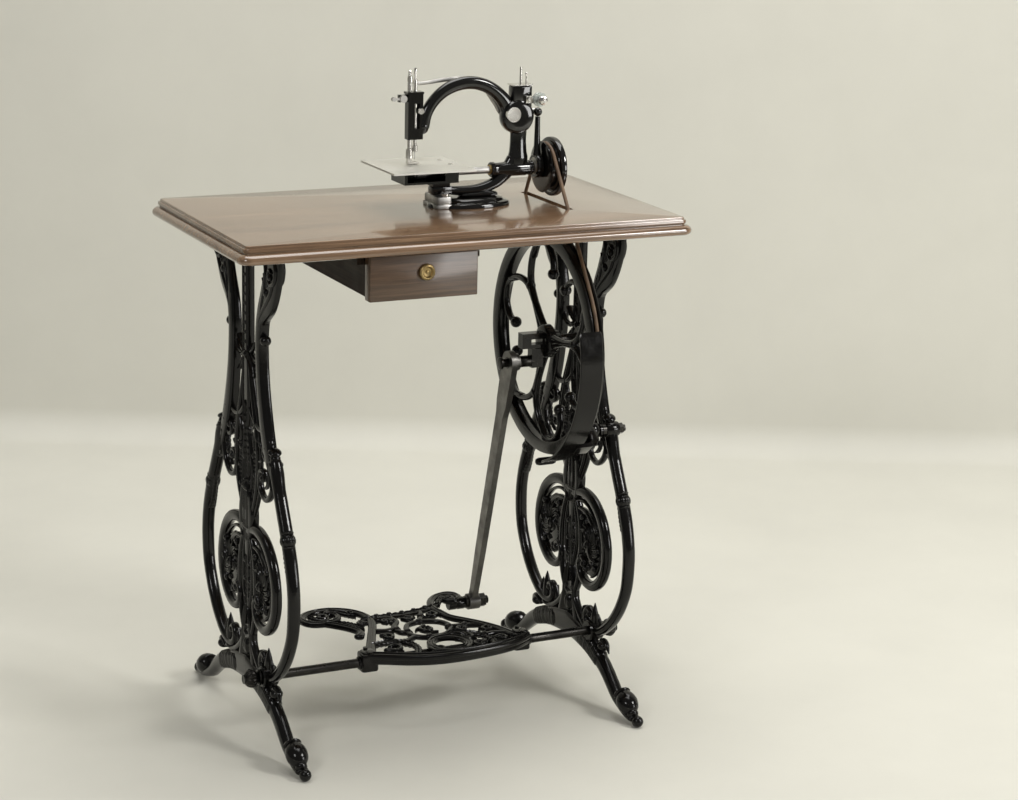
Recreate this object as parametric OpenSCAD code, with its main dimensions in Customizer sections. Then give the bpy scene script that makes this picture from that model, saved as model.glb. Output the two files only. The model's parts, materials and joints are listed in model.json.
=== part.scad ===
// Treadle sewing machine: small chain-stitch head on a moulded wooden table with cast-iron ends.
// Row frame in mm: X along the table, Y to the back, Z up, origin on the floor under the table's centre.

/* [Table] */
// height of the table's top surface above the floor
table_h = 720; // [690:5:760]
// length of the flat top inside the edge moulding
top_l = 616; // [600:1:660]
// depth of the flat top inside the edge moulding
top_d = 342; // [330:1:380]
// how far the edge moulding stands out from the flat top
mould_w = 19; // [12:1:26]
// thickness of the table top over its moulding
top_t = 24; // [20:1:30]

/* [Iron ends] */
// distance from the table's centre to the middle of each iron end
frame_x = 250; // [240:1:262]
// thickness of the cast bars of the iron ends
bar_t = 15; // [10:0.5:17]
// thickness of the cast scrollwork
scroll_t = 11; // [7:0.5:13]
// radius of the stretcher rod, which the treadle rocks on
rod_r = 6.6; // [5:0.1:8]

/* [Drive] */
// outer radius of the flywheel
fly_r = 161.5; // [150:0.5:164]
// width of the flywheel rim
rim_w = 20; // [16:1:21]
// radial thickness of the flywheel rim
rim_t = 19; // [14:1:20]
// crank radius of the flywheel
crank_r = 27; // [24:1:30]
// radius of the round leather belt
belt_r = 2.6; // [2:0.1:3]
// radius of the hand wheel
hand_r = 41.5; // [38:0.5:43]

/* [Drawer] */
// width of the drawer front
drawer_w = 154; // [140:1:160]
// height of the drawer front
drawer_h = 60; // [50:1:64]
// depth of the drawer, front to back
drawer_d = 298; // [200:1:306]

/* [Head] */
// depth of the machine arm, front to back
arm_d = 14; // [10:0.5:18]
// radius of the needle bar and of the presser bar
bar_r = 2.8; // [2.2:0.1:3.2]

/* [Hidden] */
$fn = 48;
gap = 0.3;
fit = 0.05;
T = table_h;
under = T - top_t;
belt_x = 189;
fly_y = -20;
fly_z = T - 199;
shaft_z = T + 47;
rod_y = -75;
rod_z = 98;
groove_d = 4;
fly_b = fly_r - groove_d + belt_r + 0.45;
hand_b = 33;
stud_r = 8;
crank_a = -90;
pin_y = fly_y + crank_r * cos(crank_a);
pin_z = fly_z + crank_r * sin(crank_a);
joint_y = 90;
joint_z = 103;
pit_x = 128;
pit_t = 9;
pit_l = sqrt(pow(joint_y - pin_y, 2) + pow(joint_z - pin_z, 2));
pit_a = atan2(joint_z - pin_z, joint_y - pin_y);
plate_z = T + 58.5;
needle_x = -10;
presser_x = -18;
lever_x = 131;
lever_z = T + 124.5;
rod_x = 175.5;
ecc = 2.1;
drawer_x = -144;
drawer_y = -170;
drawer_top = under - 3.5;

// which sub-part to draw

// one point of a smooth curve through p0, p1, p2, p3
function cat(a, b, c, d, t) = 0.5 * (2 * b + (c - a) * t + (2 * a - 5 * b + 4 * c - d) * t * t
  + (3 * b - a - 3 * c + d) * t * t * t);
// a smooth curve through the points p, n steps to each span
function curve(p, n) = concat([for (i = [0 : len(p) - 2]) for (j = [0 : n - 1])
  cat(p[max(i - 1, 0)], p[i], p[i + 1], p[min(i + 2, len(p) - 1)], j / n)], [p[len(p) - 1]]);
// point i of the curve c pushed sideways by half its width, to side s
function edge(c, i, s) =
  let (a = c[max(i - 1, 0)], b = c[min(i + 1, len(c) - 1)])
  let (dx = b[0] - a[0], dy = b[1] - a[1])
  let (m = max(sqrt(dx * dx + dy * dy), 0.001))
  [c[i][0] - s * dy / m * c[i][2] / 2, c[i][1] + s * dx / m * c[i][2] / 2];
// a point at radius r and angle a
function pol(r, a) = [r * cos(a), r * sin(a)];

// flat stroke through points [u, v, width]
module ribbon(p, n = 4) {
  c = curve(p, n);
  m = len(c) - 1;
  polygon(concat([for (i = [0 : m]) edge(c, i, 1)], [for (i = [m : -1 : 0]) edge(c, i, -1)]));
}

module dot(u, v, r) {
  translate([u, v]) circle(r);
}

// draws a flat shape in the YZ plane and makes it t thick, centred on x
module side(x, t) {
  translate([x - t / 2, 0, 0]) rotate([90, 0, 90]) linear_extrude(t) children();
}

// cylinder along X from x0 to x1
module xcyl(x0, x1, y, z, r) {
  translate([x0, y, z]) rotate([0, 90, 0]) cylinder(h = x1 - x0, r = r);
}

// cylinder along Y from y0 to y1
module ycyl(x, y0, y1, z, r) {
  translate([x, y0, z]) rotate([-90, 0, 0]) cylinder(h = y1 - y0, r = r);
}

// cylinder along Z from z0 to z1
module zcyl(x, y, z0, z1, r) {
  translate([x, y, z0]) cylinder(h = z1 - z0, r = r);
}

// hexagon nut along X
module xhex(x0, x1, y, z, r) {
  translate([x0, y, z]) rotate([0, 90, 0]) cylinder(h = x1 - x0, r = r, $fn = 6);
}

// rounded rectangle centred on the origin
module round_rect(l, w, r) {
  polygon([for (q = [0 : 3]) for (j = [0 : 5])
    let (a = q * 90 + j * 18, sx = (q == 0 || q == 3) ? 1 : -1, sy = (q < 2) ? 1 : -1)
    [sx * (l / 2 - r) + r * cos(a), sy * (w / 2 - r) + r * sin(a)]]);
}

// one layer of the table top
module layer(z0, z1, out, r) {
  translate([0, 0, z0]) linear_extrude(z1 - z0) round_rect(top_l + 2 * out, top_d + 2 * out, r);
}

// ---- iron ends ----

// one half of an iron end, from the middle to the back, drawn flat
module frame_bars() {
  ribbon([[98, under, 62], [97, 672, 66], [86, 640, 50], [66, 607, 27], [54, 578, 16], [54, 545, 16],
    [60, 505, 17], [72, 462, 17], [88, 424, 17], [106, 394, 17]]);
  ribbon([[0, 534, 14], [26, 530, 13], [54, 526, 14]]);
  ribbon([[104, 404, 17], [121, 370, 16], [145, 324, 17], [164, 284, 15], [174, 244, 14],
    [170, 200, 14], [153, 155, 14], [127, 122, 14], [96, 100, 16], [62, 84, 20], [30, 80, 22]]);
  ribbon([[0, 88, 34], [50, 78, 30], [92, 66, 25], [124, 50, 21], [148, 29, 20], [172, 18, 18],
    [200, 14, 14], [217, 9, 10]]);
}

// the scrollwork of one half of an iron end
module frame_scrolls() {
  ribbon([[86, 425, 12], [68, 438, 10], [50, 428, 9], [40, 402, 9], [46, 372, 9], [66, 354, 9],
    [86, 360, 9], [94, 380, 9], [84, 394, 9], [72, 388, 12]]);
  ribbon([[-3, 448, 9], [20, 424, 8], [30, 388, 8], [24, 350, 8], [8, 322, 8], [-6, 306, 8]]);
  ribbon([[28, 396, 7], [38, 396, 7], [44, 398, 7]]);
  ribbon([[-4, 284, 15], [38, 292, 15], [78, 280, 15], [101, 247, 15], [100, 207, 15], [80, 174, 15],
    [50, 160, 14], [26, 174, 12], [26, 198, 11], [44, 204, 12]]);
  ribbon([[-4, 282, 9], [22, 262, 9], [32, 232, 9], [26, 200, 9], [12, 170, 9], [-4, 146, 9]]);
  ribbon([[98, 232, 9], [76, 236, 9], [56, 244, 9], [34, 238, 9]]);
  ribbon([[28, 222, 8], [48, 222, 8], [62, 214, 9]]);
  ribbon([[8, 130, 10], [30, 108, 10], [50, 94, 12], [62, 88, 14]]);
  ribbon([[70, 88, 26], [76, 104, 24], [78, 120, 14], [78, 138, 2]]);
}

// balls and bosses of one half of an iron end
module frame_knobs(x) {
  translate([x, 186, 22]) sphere(21);
  translate([x, 218, 8]) sphere(8);
  xcyl(x - 10, x + 10, 108, 408, 11);
  xcyl(x - 9, x + 9, 58, 566, 8);
  xcyl(x - 10, x + 10, 151, 314, 15);
  xcyl(x - 9, x + 9, 100, 66, 9);
}

module side_frame(x, bored) {
  difference() {
    union() {
      for (s = [0, 1]) {
        mirror([0, s, 0]) {
          side(x, bar_t) frame_bars();
          side(x, scroll_t) frame_scrolls();
          frame_knobs(x);
        }
      }
      side(x, bar_t - 1) polygon([[-9, under], [9, under], [9, 440], [-9, 440]]);
      side(x, bar_t - 1) polygon([[-10, 442], [10, 442], [12, 400], [4, 326], [-4, 326], [-12, 400]]);
      side(x, bar_t + 2) polygon([[-22, 346], [22, 346], [27, 310], [24, 284], [-24, 284], [-27, 310]]);
      side(x, bar_t - 2) polygon([[-20, 170], [20, 170], [20, 130], [34, 88], [-34, 88], [-20, 130]]);
      if (bored) xcyl(x - 11, x + 11, fly_y, fly_z, 17);
      xcyl(x - 11, x + 11, rod_y, rod_z, 15);
    }
    xcyl(x - 30, x + 30, rod_y, rod_z, rod_r + fit);
    if (bored) xcyl(x - 30, x + 30, fly_y, fly_z, stud_r + fit);
    if (bored) xcyl(x - 30, x + 30, -108, 408, 5.05);
    translate([x - 30, -300, -40]) cube([60, 600, 40]);
    translate([x - 30, -300, under]) cube([60, 600, 40]);
    for (y = [-98, 98]) zcyl(x, y, 640, 700, 2.2);
  }
}

module side_frame_left() {
  color([0.05, 0.05, 0.05]) side_frame(-frame_x, false);
}

module side_frame_right() {
  color([0.05, 0.05, 0.05]) side_frame(frame_x, true);
}

module stretcher_rod() {
  color([0.08, 0.08, 0.08]) xcyl(-frame_x - 34, frame_x + 34, rod_y, rod_z, rod_r);
}

module stretcher_nuts() {
  color([0.06, 0.06, 0.06]) for (s = [-1, 1]) {
    translate([s * (frame_x + 11.1), rod_y, rod_z]) rotate([0, s * 90, 0]) rotate_extrude()
      polygon([[rod_r + fit, 0], [12.6, 0], [12.6, 5], [9, 7], [9, 9], [11.6, 12], [12.4, 16],
        [11.6, 20], [9.4, 23.4], [rod_r + fit, 24.5]]);
    translate([s * (frame_x - 11.1), rod_y, rod_z]) rotate([0, -s * 90, 0]) rotate_extrude()
      polygon([[rod_r + fit, 0], [11, 0], [11, 5], [9.5, 7.5], [rod_r + fit, 8]]);
  }
}

module frame_screws() {
  color([0.1, 0.1, 0.1]) for (x = [-frame_x, frame_x]) for (y = [-98, 98]) zcyl(x, y, 662, under + 12, 2);
}

// ---- table and drawer ----

module table_top() {
  color([0.42, 0.24, 0.13]) difference() {
    union() {
      layer(T - 3.5, T, 0, 5);
      layer(T - 9, T - 3.5, mould_w * 0.28, 8);
      layer(T - 11, T - 9, mould_w * 0.2, 7);
      layer(under + 10, T - 11, mould_w * 0.5, 11);
      layer(under + 3, under + 10, mould_w, 16);
      layer(under, under + 3, mould_w * 0.82, 14);
    }
    side(belt_x, 12) polygon([[-80.5, T + 1], [66, T + 1], [78.5, under - 1], [-97.5, under - 1]]);
    for (x = [-frame_x, frame_x]) for (y = [-98, 98]) zcyl(x, y, under - 1, under + 13, 2.05);
    for (x = [drawer_x - 6.5, drawer_x + drawer_w + 5.5]) for (y = [-130, 0, 110]) zcyl(x, y, under - 1, under + 8, 1.55);
    zcyl(28, 20, T - 16, T + 1, 2.55);
    zcyl(28, -20, T - 16, T + 1, 2.55);
    zcyl(118, 0, T - 16, T + 1, 2.55);
  }
}

module drawer_runners() {
  color([0.4, 0.24, 0.14]) difference() {
    union() {
      for (s = [-1, 1]) {
        x = s < 0 ? drawer_x - 10.5 : drawer_x + drawer_w + 1.5;
        translate([x, drawer_y + 19, under - 16]) cube([9, drawer_d - 19, 16]);
        translate([s < 0 ? x + 8.5 : x - 7.5, drawer_y + 19, under - 16]) cube([8, drawer_d - 19, 5]);
      }
    }
    for (x = [drawer_x - 6.5, drawer_x + drawer_w + 5.5]) for (y = [-130, 0, 110]) zcyl(x, y, under - 17, under + 1, 1.55);
    for (x = [drawer_x - 6.5, drawer_x + drawer_w + 5.5]) for (y = [-130, 0, 110]) zcyl(x, y, under - 17, under - 13, 3.2);
  }
}

module runner_screws() {
  color([0.55, 0.5, 0.4]) for (x = [drawer_x - 6.5, drawer_x + drawer_w + 5.5]) for (y = [-130, 0, 110]) {
    zcyl(x, y, under - 15.8, under + 7.5, 1.5);
    zcyl(x, y, under - 15.8, under - 13, 3);
  }
}

module drawer_front() {
  color([0.45, 0.27, 0.15]) difference() {
    translate([drawer_x, drawer_y, drawer_top - drawer_h]) cube([drawer_w, 18, drawer_h]);
    ycyl(-64, drawer_y - 1, drawer_y + 19, drawer_top - 24, 4.05);
  }
}

module drawer_sides() {
  color([0.5, 0.32, 0.2]) for (s = [-1, 1]) {
    x = s < 0 ? drawer_x + 8.5 : drawer_x + drawer_w - 17.5;
    difference() {
      union() {
        translate([x, drawer_y + 18, drawer_top - drawer_h]) cube([9, drawer_d - 18, drawer_h - 1]);
        translate([s < 0 ? x - 7 : x + 8, drawer_y + 20, under - 10.4]) cube([8, drawer_d - 22, 6]);
      }
      translate([s < 0 ? x + 5 : x - 1, drawer_y, drawer_top - drawer_h + 5]) cube([5, drawer_d + 10, 5]);
    }
  }
}

module drawer_back() {
  color([0.5, 0.32, 0.2]) translate([drawer_x + 17.6, drawer_y + drawer_d - 9, drawer_top - drawer_h + 10.2])
    cube([drawer_w - 35.2, 9, drawer_h - 12]);
}

module drawer_bottom() {
  color([0.55, 0.38, 0.25]) translate([drawer_x + 13.6, drawer_y + 18.1, drawer_top - drawer_h + 5.1])
    cube([drawer_w - 27.2, drawer_d - 18.2, 4.7]);
}

module drawer_pull() {
  color([0.45, 0.36, 0.2]) translate([-64, drawer_y, drawer_top - 24]) rotate([90, 0, 0]) rotate_extrude()
    polygon([[0, -17], [4, -17], [4, 0], [11, 0], [11.2, 2.4], [10.2, 4.6], [8.6, 5.6], [7.2, 4.6],
      [6.4, 2.2], [3, 1.4], [0, 1.4]]);
}

// ---- machine head: fixed parts ----

module head_base() {
  color([0.06, 0.06, 0.06]) difference() {
    union() {
      translate([72, 0, T]) scale([1.78, 1, 1]) cylinder(h = 6, r = 34);
      translate([76, 0, T + 5.9]) scale([1.9, 1, 1]) cylinder(h = 5.6, r = 25);
      translate([14, -26, T]) cube([24, 52, 17]);
    }
    for (y = [-20, 20]) zcyl(28, y, T - 1, T + 20, 2.55);
    zcyl(118, 0, T - 1, T + 20, 2.55);
    zcyl(118, 0, T + 6.5, T + 14, 5.6);
  }
}

module base_bolts() {
  color([0.75, 0.75, 0.75]) for (p = [[28, -20, 17], [28, 20, 17], [118, 0, 6.5]]) {
    zcyl(p[0], p[1], T - 15, T + p[2] + 0.1, 2.5);
    zcyl(p[0], p[1], T + p[2] + 0.05, T + p[2] + 4, 5);
  }
}

// draws a flat shape in the XZ plane and makes it d deep, centred on y
module face(y, d) {
  translate([0, y + d / 2, 0]) rotate([90, 0, 0]) linear_extrude(d) children();
}

module machine_arm() {
  color([0.06, 0.06, 0.06]) difference() {
    union() {
      face(0, arm_d) ribbon([[22, T + 23, 11], [38, T + 22.5, 12], [56, T + 20.5, 14], [84, T + 21, 14],
        [110, T + 28, 16], [128, T + 42, 18], [138, T + 56, 20]]);
      face(0, arm_d) intersection() {
        difference() {
          dot(70, T + 101, 77);
          dot(67, T + 101, 59);
        }
        polygon([[-20, T + 113], [60, T + 100], [138, T + 112], [150, T + 200], [-20, T + 200]]);
      }
      face(0, arm_d) polygon([[131, T + 60], [161, T + 60], [158.5, T + 72], [158, T + 104], [134, T + 104],
        [134, T + 72]]);
      ycyl(142, -12, 8, T + 120, 24);
      translate([133, -9, T + 128]) cube([29, 17, 35]);
      xcyl(104, 168, 0, shaft_z, 10.5);
      translate([14, -9, T + 17.1]) cube([30, 18, 12]);
      translate([60, -10, T + 11.6]) cube([50, 20, 6]);
    }
    xcyl(90, 111, 0, shaft_z, 7.05);
    xcyl(157, 180, 0, shaft_z, 7.05);
    xcyl(100, 175, 0, shaft_z, 5.6);
    ycyl(lever_x, -20, 20, lever_z, 4.05);
    zcyl(148, 0, T + 150, T + 170, 1.55);
    ycyl(156, -20, 0, T + 144, 2.05);
    translate([150.9, -14, T + 138.9]) cube([30, 4.95, 14]);
    translate([-20, -20, T + 80]) cube([19.8, 40, 60]);
    translate([-20, -20, T]) cube([58.2, 40, 17.1]);
    translate([-20, -20, T + 29.1]) cube([61, 40, 30]);
    xcyl(-1, 8, 0, T + 124, 2.05);
  }
}

module shaft_bushes() {
  color([0.6, 0.45, 0.2]) for (x = [104, 157]) difference() {
    xcyl(x == 104 ? 102 : 157, x == 104 ? 111 : 169.5, 0, shaft_z, 7);
    xcyl(90, 180, 0, shaft_z, 5 + fit);
  }
}

module needle_head() {
  color([0.06, 0.06, 0.06]) difference() {
    union() {
      translate([-22.5, -6, T + 95]) cube([22, 12, 62]);
      translate([-24, -7, T + 156.9]) cube([24, 14, 3]);
      translate([-34, 0, T + 146]) cube([11.6, 5, 10]);
    }
    zcyl(needle_x, 0, T + 90, T + 165, bar_r + fit);
    zcyl(presser_x, 0, T + 90, T + 165, bar_r + fit);
    translate([-14.4, -8, T + 110]) cube([9, 5.6, 34]);
    xcyl(-6, 8, 0, T + 124, 2.05);
    ycyl(-4.8, -8, 2, T + 134, 1.55);
    ycyl(-29, -4, 6, T + 151, 2.05);
  }
}

module head_clamp_screw() {
  color([0.75, 0.75, 0.75]) {
    xcyl(-5.6, 3, 0, T + 124, 2);
    ycyl(-4.8, -6.1, 1.5, T + 134, 1.5);
    ycyl(-4.8, -10, -6.05, T + 134, 4);
  }
}

module cloth_plate() {
  color([0.8, 0.8, 0.8]) difference() {
    translate([-69, -69, plate_z]) cube([121, 118, 2.5]);
    translate([-17, -7, plate_z - 1]) cube([14, 14, 5]);
    for (p = [[36, 18], [36, -18]]) zcyl(p[0], p[1], plate_z - 1, plate_z + 4, 2.05);
  }
}

module plate_screws() {
  color([0.7, 0.7, 0.7]) for (p = [[36, 18], [36, -18]]) {
    zcyl(p[0], p[1], plate_z - 8, plate_z + 2.6, 2);
    zcyl(p[0], p[1], plate_z + 2.55, plate_z + 3.6, 3.6);
  }
}

module needle_plate() {
  color([0.85, 0.85, 0.85]) difference() {
    translate([-16.9, -6.9, plate_z + 0.4]) cube([13.8, 13.8, 2.1]);
    zcyl(needle_x, 0, plate_z, plate_z + 4, 1.3);
    translate([-15.5, 2.6, plate_z]) cube([11, 3, 4]);
  }
}

module feed_housing() {
  color([0.07, 0.07, 0.07]) difference() {
    union() {
      translate([-34, -24, T + 36]) cube([80, 48, 3]);
      translate([-34, -24, T + 38.9]) cube([4, 48, 19.5]);
      translate([26, -24, T + 38.9]) cube([20, 48, 19.5]);
      translate([-31, 12, T + 38.9]) cube([58, 12, 19.5]);
      translate([14, -9, T + 29.2]) cube([26, 18, 7]);
    }
    for (y = [-18, 18]) zcyl(36, y, plate_z - 9, plate_z + 4, 2.05);
    xcyl(20, 60, 0, shaft_z, 9);
  }
}

module feed_dog() {
  color([0.8, 0.8, 0.8]) {
    translate([-15.2, 2.9, plate_z - 2.6]) cube([10.4, 2.4, 5.5]);
    translate([-15.2, 2.9, plate_z - 3]) cube([11, 9, 2.4]);
  }
}

module spool_plate() {
  color([0.8, 0.8, 0.8]) difference() {
    translate([132, -10, T + 163.1]) cube([31, 19, 1.6]);
    zcyl(148, 0, T + 160, T + 168, 1.55);
    zcyl(158, 3, T + 160, T + 168, 1.25);
  }
}

module spool_pin() {
  color([0.8, 0.8, 0.8]) {
    zcyl(148, 0, T + 151, T + 166, 1.5);
    zcyl(148, 0, T + 166, T + 188, 1.75);
  }
}

module thread_pin() {
  color([0.8, 0.8, 0.8]) {
    zcyl(158, 3, T + 163.3, T + 178, 1.2);
    translate([158, 3, T + 178]) sphere(2);
  }
}

module tension_bracket() {
  color([0.85, 0.85, 0.85]) difference() {
    translate([151, -13.1, T + 139]) cube([27, 4, 10]);
    ycyl(156, -20, 0, T + 144, 2.05);
    ycyl(170, -20, 0, T + 144, 2.05);
  }
}

module tension_stud() {
  color([0.85, 0.85, 0.85]) {
    ycyl(170, -32, -9, T + 144, 2);
    ycyl(170, -9, -7, T + 144, 4.5);
    ycyl(156, -13.15, -2, T + 144, 2);
    ycyl(156, -16, -13.15, T + 144, 3.6);
  }
}

module tension_discs() {
  color([0.9, 0.92, 0.92]) for (y = [-17.6, -15.2]) translate([170, y, T + 144]) rotate([-90, 0, 0])
    rotate_extrude() polygon([[2.1, 0], [8, 0], [9.8, y == -17.6 ? -1.1 : 1.1], [10.1, y == -17.6 ? -0.3 : 1.9],
      [8, 0.9], [2.1, 0.9]]);
}

module tension_spring() {
  color([0.7, 0.7, 0.7]) for (y = [-20, -22, -24]) translate([170, y, T + 144]) rotate([-90, 0, 0])
    rotate_extrude() translate([3.6, 0]) circle(0.8, $fn = 16);
}

module tension_nut() {
  color([0.85, 0.85, 0.85]) difference() {
    translate([170, -26, T + 144]) rotate([90, 0, 0]) rotate_extrude()
      polygon([[0, 0], [6, 0], [6.5, 1.5], [5.5, 4], [3, 5], [0, 5]]);
    ycyl(170, -40, -20, T + 144, 2.05);
  }
}

module lever_pivot() {
  color([0.85, 0.85, 0.85]) {
    ycyl(lever_x, -16, 16, lever_z, 4);
    ycyl(lever_x, -17.5, -12.1, lever_z, 10.5);
    ycyl(lever_x, 12.6, 17, lever_z, 7);
  }
}

module presser_spring() {
  color([0.75, 0.75, 0.75]) for (z = [0 : 4]) translate([presser_x, 0, T + 162 + z * 2.4])
    rotate_extrude() translate([3.5, 0]) circle(0.4, $fn = 16);
}

// ---- stand: guard, stud and belt ----

// ring sector drawn flat about the flywheel's axis, from angle a0 to a1
module arc_band(r0, r1, a0, a1) {
  n = 24;
  translate([fly_y, fly_z]) polygon(concat([for (i = [0 : n]) pol(r1, a0 + (a1 - a0) * i / n)],
    [for (i = [n : -1 : 0]) pol(r0, a0 + (a1 - a0) * i / n)]));
}

module dress_guard() {
  color([0.05, 0.05, 0.05]) difference() {
    union() {
      side(174, 34) arc_band(167.5, 171, 163, 258);
      side(202, 32) arc_band(167.6, 175, 215, 237);
      side(211, 13) polygon([[-134, 402], [-122, 386], [-99, 396], [-100, 419], [-118, 420]]);
      translate([220, -108, 408]) sphere(13);
    }
    xcyl(195, 240, -108, 408, 5.05);
  }
}

module guard_bolt() {
  color([0.05, 0.05, 0.05]) {
    xcyl(202, 271, -108, 408, 5);
    xhex(frame_x + 10.1, frame_x + 17, -108, 408, 8);
    difference() {
      xcyl(234.3, 239.9, -108, 408, 9);
      xcyl(200, 240, -108, 408, 4.9);
    }
  }
}

module wheel_stud() {
  color([0.5, 0.5, 0.5]) {
    xcyl(183, 264, fly_y, fly_z, stud_r);
    xhex(frame_x + 11.1, frame_x + 19, fly_y, fly_z, 14);
  }
}

// straight strand of the belt from a to b in the belt's plane
module strand(a, b) {
  v = b - a;
  translate([belt_x, a[0], a[1]]) rotate([-90 + atan2(v[1], v[0]), 0, 0]) {
    translate([0, 0, 0.3]) cylinder(h = norm(v) - 0.6, r = belt_r);
    sphere(belt_r + 0.12);
    translate([0, 0, norm(v)]) sphere(belt_r + 0.12);
  }
}

// part of the belt round a wheel at c, from angle a over sweep w
module wrap(c, r, a, w) {
  translate([belt_x, c[0], c[1]]) rotate([90, 0, 90]) rotate([0, 0, a]) rotate_extrude(angle = w)
    translate([r, 0]) circle(belt_r);
}

module drive_belt() {
  c1 = [0, shaft_z];
  c2 = [fly_y, fly_z];
  d = norm(c2 - c1);
  b = asin((fly_b - hand_b) / d);
  u = atan2(c2[1] - c1[1], c2[0] - c1[0]);
  color([0.35, 0.22, 0.12]) {
    wrap(c1, hand_b, u + 90 + b, 180 - 2 * b);
    wrap(c2, fly_b, u - 90 - b, 180 + 2 * b);
    strand(c1 + pol(hand_b, u + 90 + b), c2 + pol(fly_b, u + 90 + b));
    strand(c1 + pol(hand_b, u - 90 - b), c2 + pol(fly_b, u - 90 - b));
  }
}

// ---- flywheel and crank ----

// one curled arm of the flywheel, towards side s of the middle angle m
module fly_arm(m, s) {
  w = 9.5;
  ribbon([for (q = [[18, 78, w], [36, 64, w], [62, 60, w], [88, 58, w], [108, 52, w], [128, 43, w],
    [141.5, 33, w], [139, 23, w], [124, 15, w], [106, 12, w]]) concat(pol(q[0], m + s * q[1]), [q[2]])]);
  ribbon([concat(pol(126, m + s * 42), [w]), concat(pol(140, m + s * 37), [w]), concat(pol(152, m + s * 35), [w + 3])]);
  translate(pol(101, m + s * 12)) circle(8);
}

module flywheel() {
  color([0.05, 0.05, 0.05]) difference() {
    union() {
      translate([belt_x, fly_y, fly_z]) rotate([90, 0, 90]) rotate_extrude()
        polygon([[fly_r - rim_t, -rim_w / 2], [fly_r, -rim_w / 2], [fly_r, -5], [fly_r - groove_d, -3.4],
          [fly_r - groove_d, 3.4], [fly_r, 5], [fly_r, rim_w / 2], [fly_r - rim_t, rim_w / 2]]);
      translate([belt_x - 5, fly_y, fly_z]) rotate([90, 0, 90]) linear_extrude(10) {
        for (m = [-9, 111, 231]) for (s = [-1, 1]) fly_arm(m, s);
        for (m = [51, 171, 291]) translate(pol(88, m)) circle(7);
      }
      xcyl(181, 206, fly_y, fly_z, 24);
    }
    xcyl(170, 240, fly_y, fly_z, stud_r + fit);
  }
}

module crank() {
  color([0.05, 0.05, 0.05]) difference() {
    union() {
      translate([147.6, fly_y - 7.5, fly_z - 7.5]) cube([33.3, 15, 21.5]);
      translate([163, fly_y - 7, pin_z - 9]) cube([17.9, 14, fly_z - pin_z]);
    }
    translate([161.6, fly_y - 20, fly_z - 2.5]) cube([17, 40, 8]);
    xcyl(150, 190, pin_y, pin_z, 6 + fit);
  }
}

module crank_pin() {
  color([0.6, 0.6, 0.6]) {
    xcyl(119, 180.8, pin_y, pin_z, 6);
    xcyl(115, 120, pin_y, pin_z, 9);
  }
}

// ---- pitman ----

// puts a flat shape, drawn along u from the crank pin, in the pitman's plane
module pitman_plane(x, t) {
  translate([x, pin_y, pin_z]) rotate([90, 0, 90]) rotate([0, 0, pit_a]) linear_extrude(t) children();
}

module pitman_rod() {
  color([0.12, 0.1, 0.08]) difference() {
    union() {
      pitman_plane(pit_x, pit_t) {
        polygon([[0, -16], [12, -16.5], [66, -15], [84, -11], [pit_l - 90, -9], [pit_l - 24, -6.5],
          [pit_l, -7], [pit_l, 7], [pit_l - 24, 6.5], [pit_l - 90, 9], [84, 11], [66, 15], [12, 16.5], [0, 16]]);
        circle(17);
      }
      xcyl(pit_x + pit_t - 1, pit_x + pit_t + 7, pin_y, pin_z, 12);
      xcyl(pit_x - 4, pit_x + pit_t + 4, joint_y, joint_z, 12);
    }
    xcyl(100, 180, pin_y, pin_z, 8.05);
    xcyl(100, 180, joint_y, joint_z, 6.05);
  }
}

module pitman_bush() {
  color([0.6, 0.45, 0.2]) difference() {
    xcyl(pit_x - 0.5, pit_x + pit_t + 7.5, pin_y, pin_z, 8);
    xcyl(100, 180, pin_y, pin_z, 6 + fit);
  }
}

module pitman_bolts() {
  color([0.3, 0.3, 0.3]) {
    xcyl(118, pit_x + pit_t + 19, joint_y, joint_z, 6);
    xhex(pit_x + pit_t + 4.1, pit_x + pit_t + 14, joint_y, joint_z, 10.5);
    xcyl(119.5, pit_x - 4.1, joint_y, joint_z, 9);
  }
}

// ---- treadle ----

// front rim of the treadle
module treadle_rim(w) {
  ribbon([[-106, -80, w], [-82, -92, w], [-54, -106, w], [-22, -116, w], [16, -119, w], [70, -114, w],
    [110, -104, w], [133, -91, w]]);
}

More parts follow.
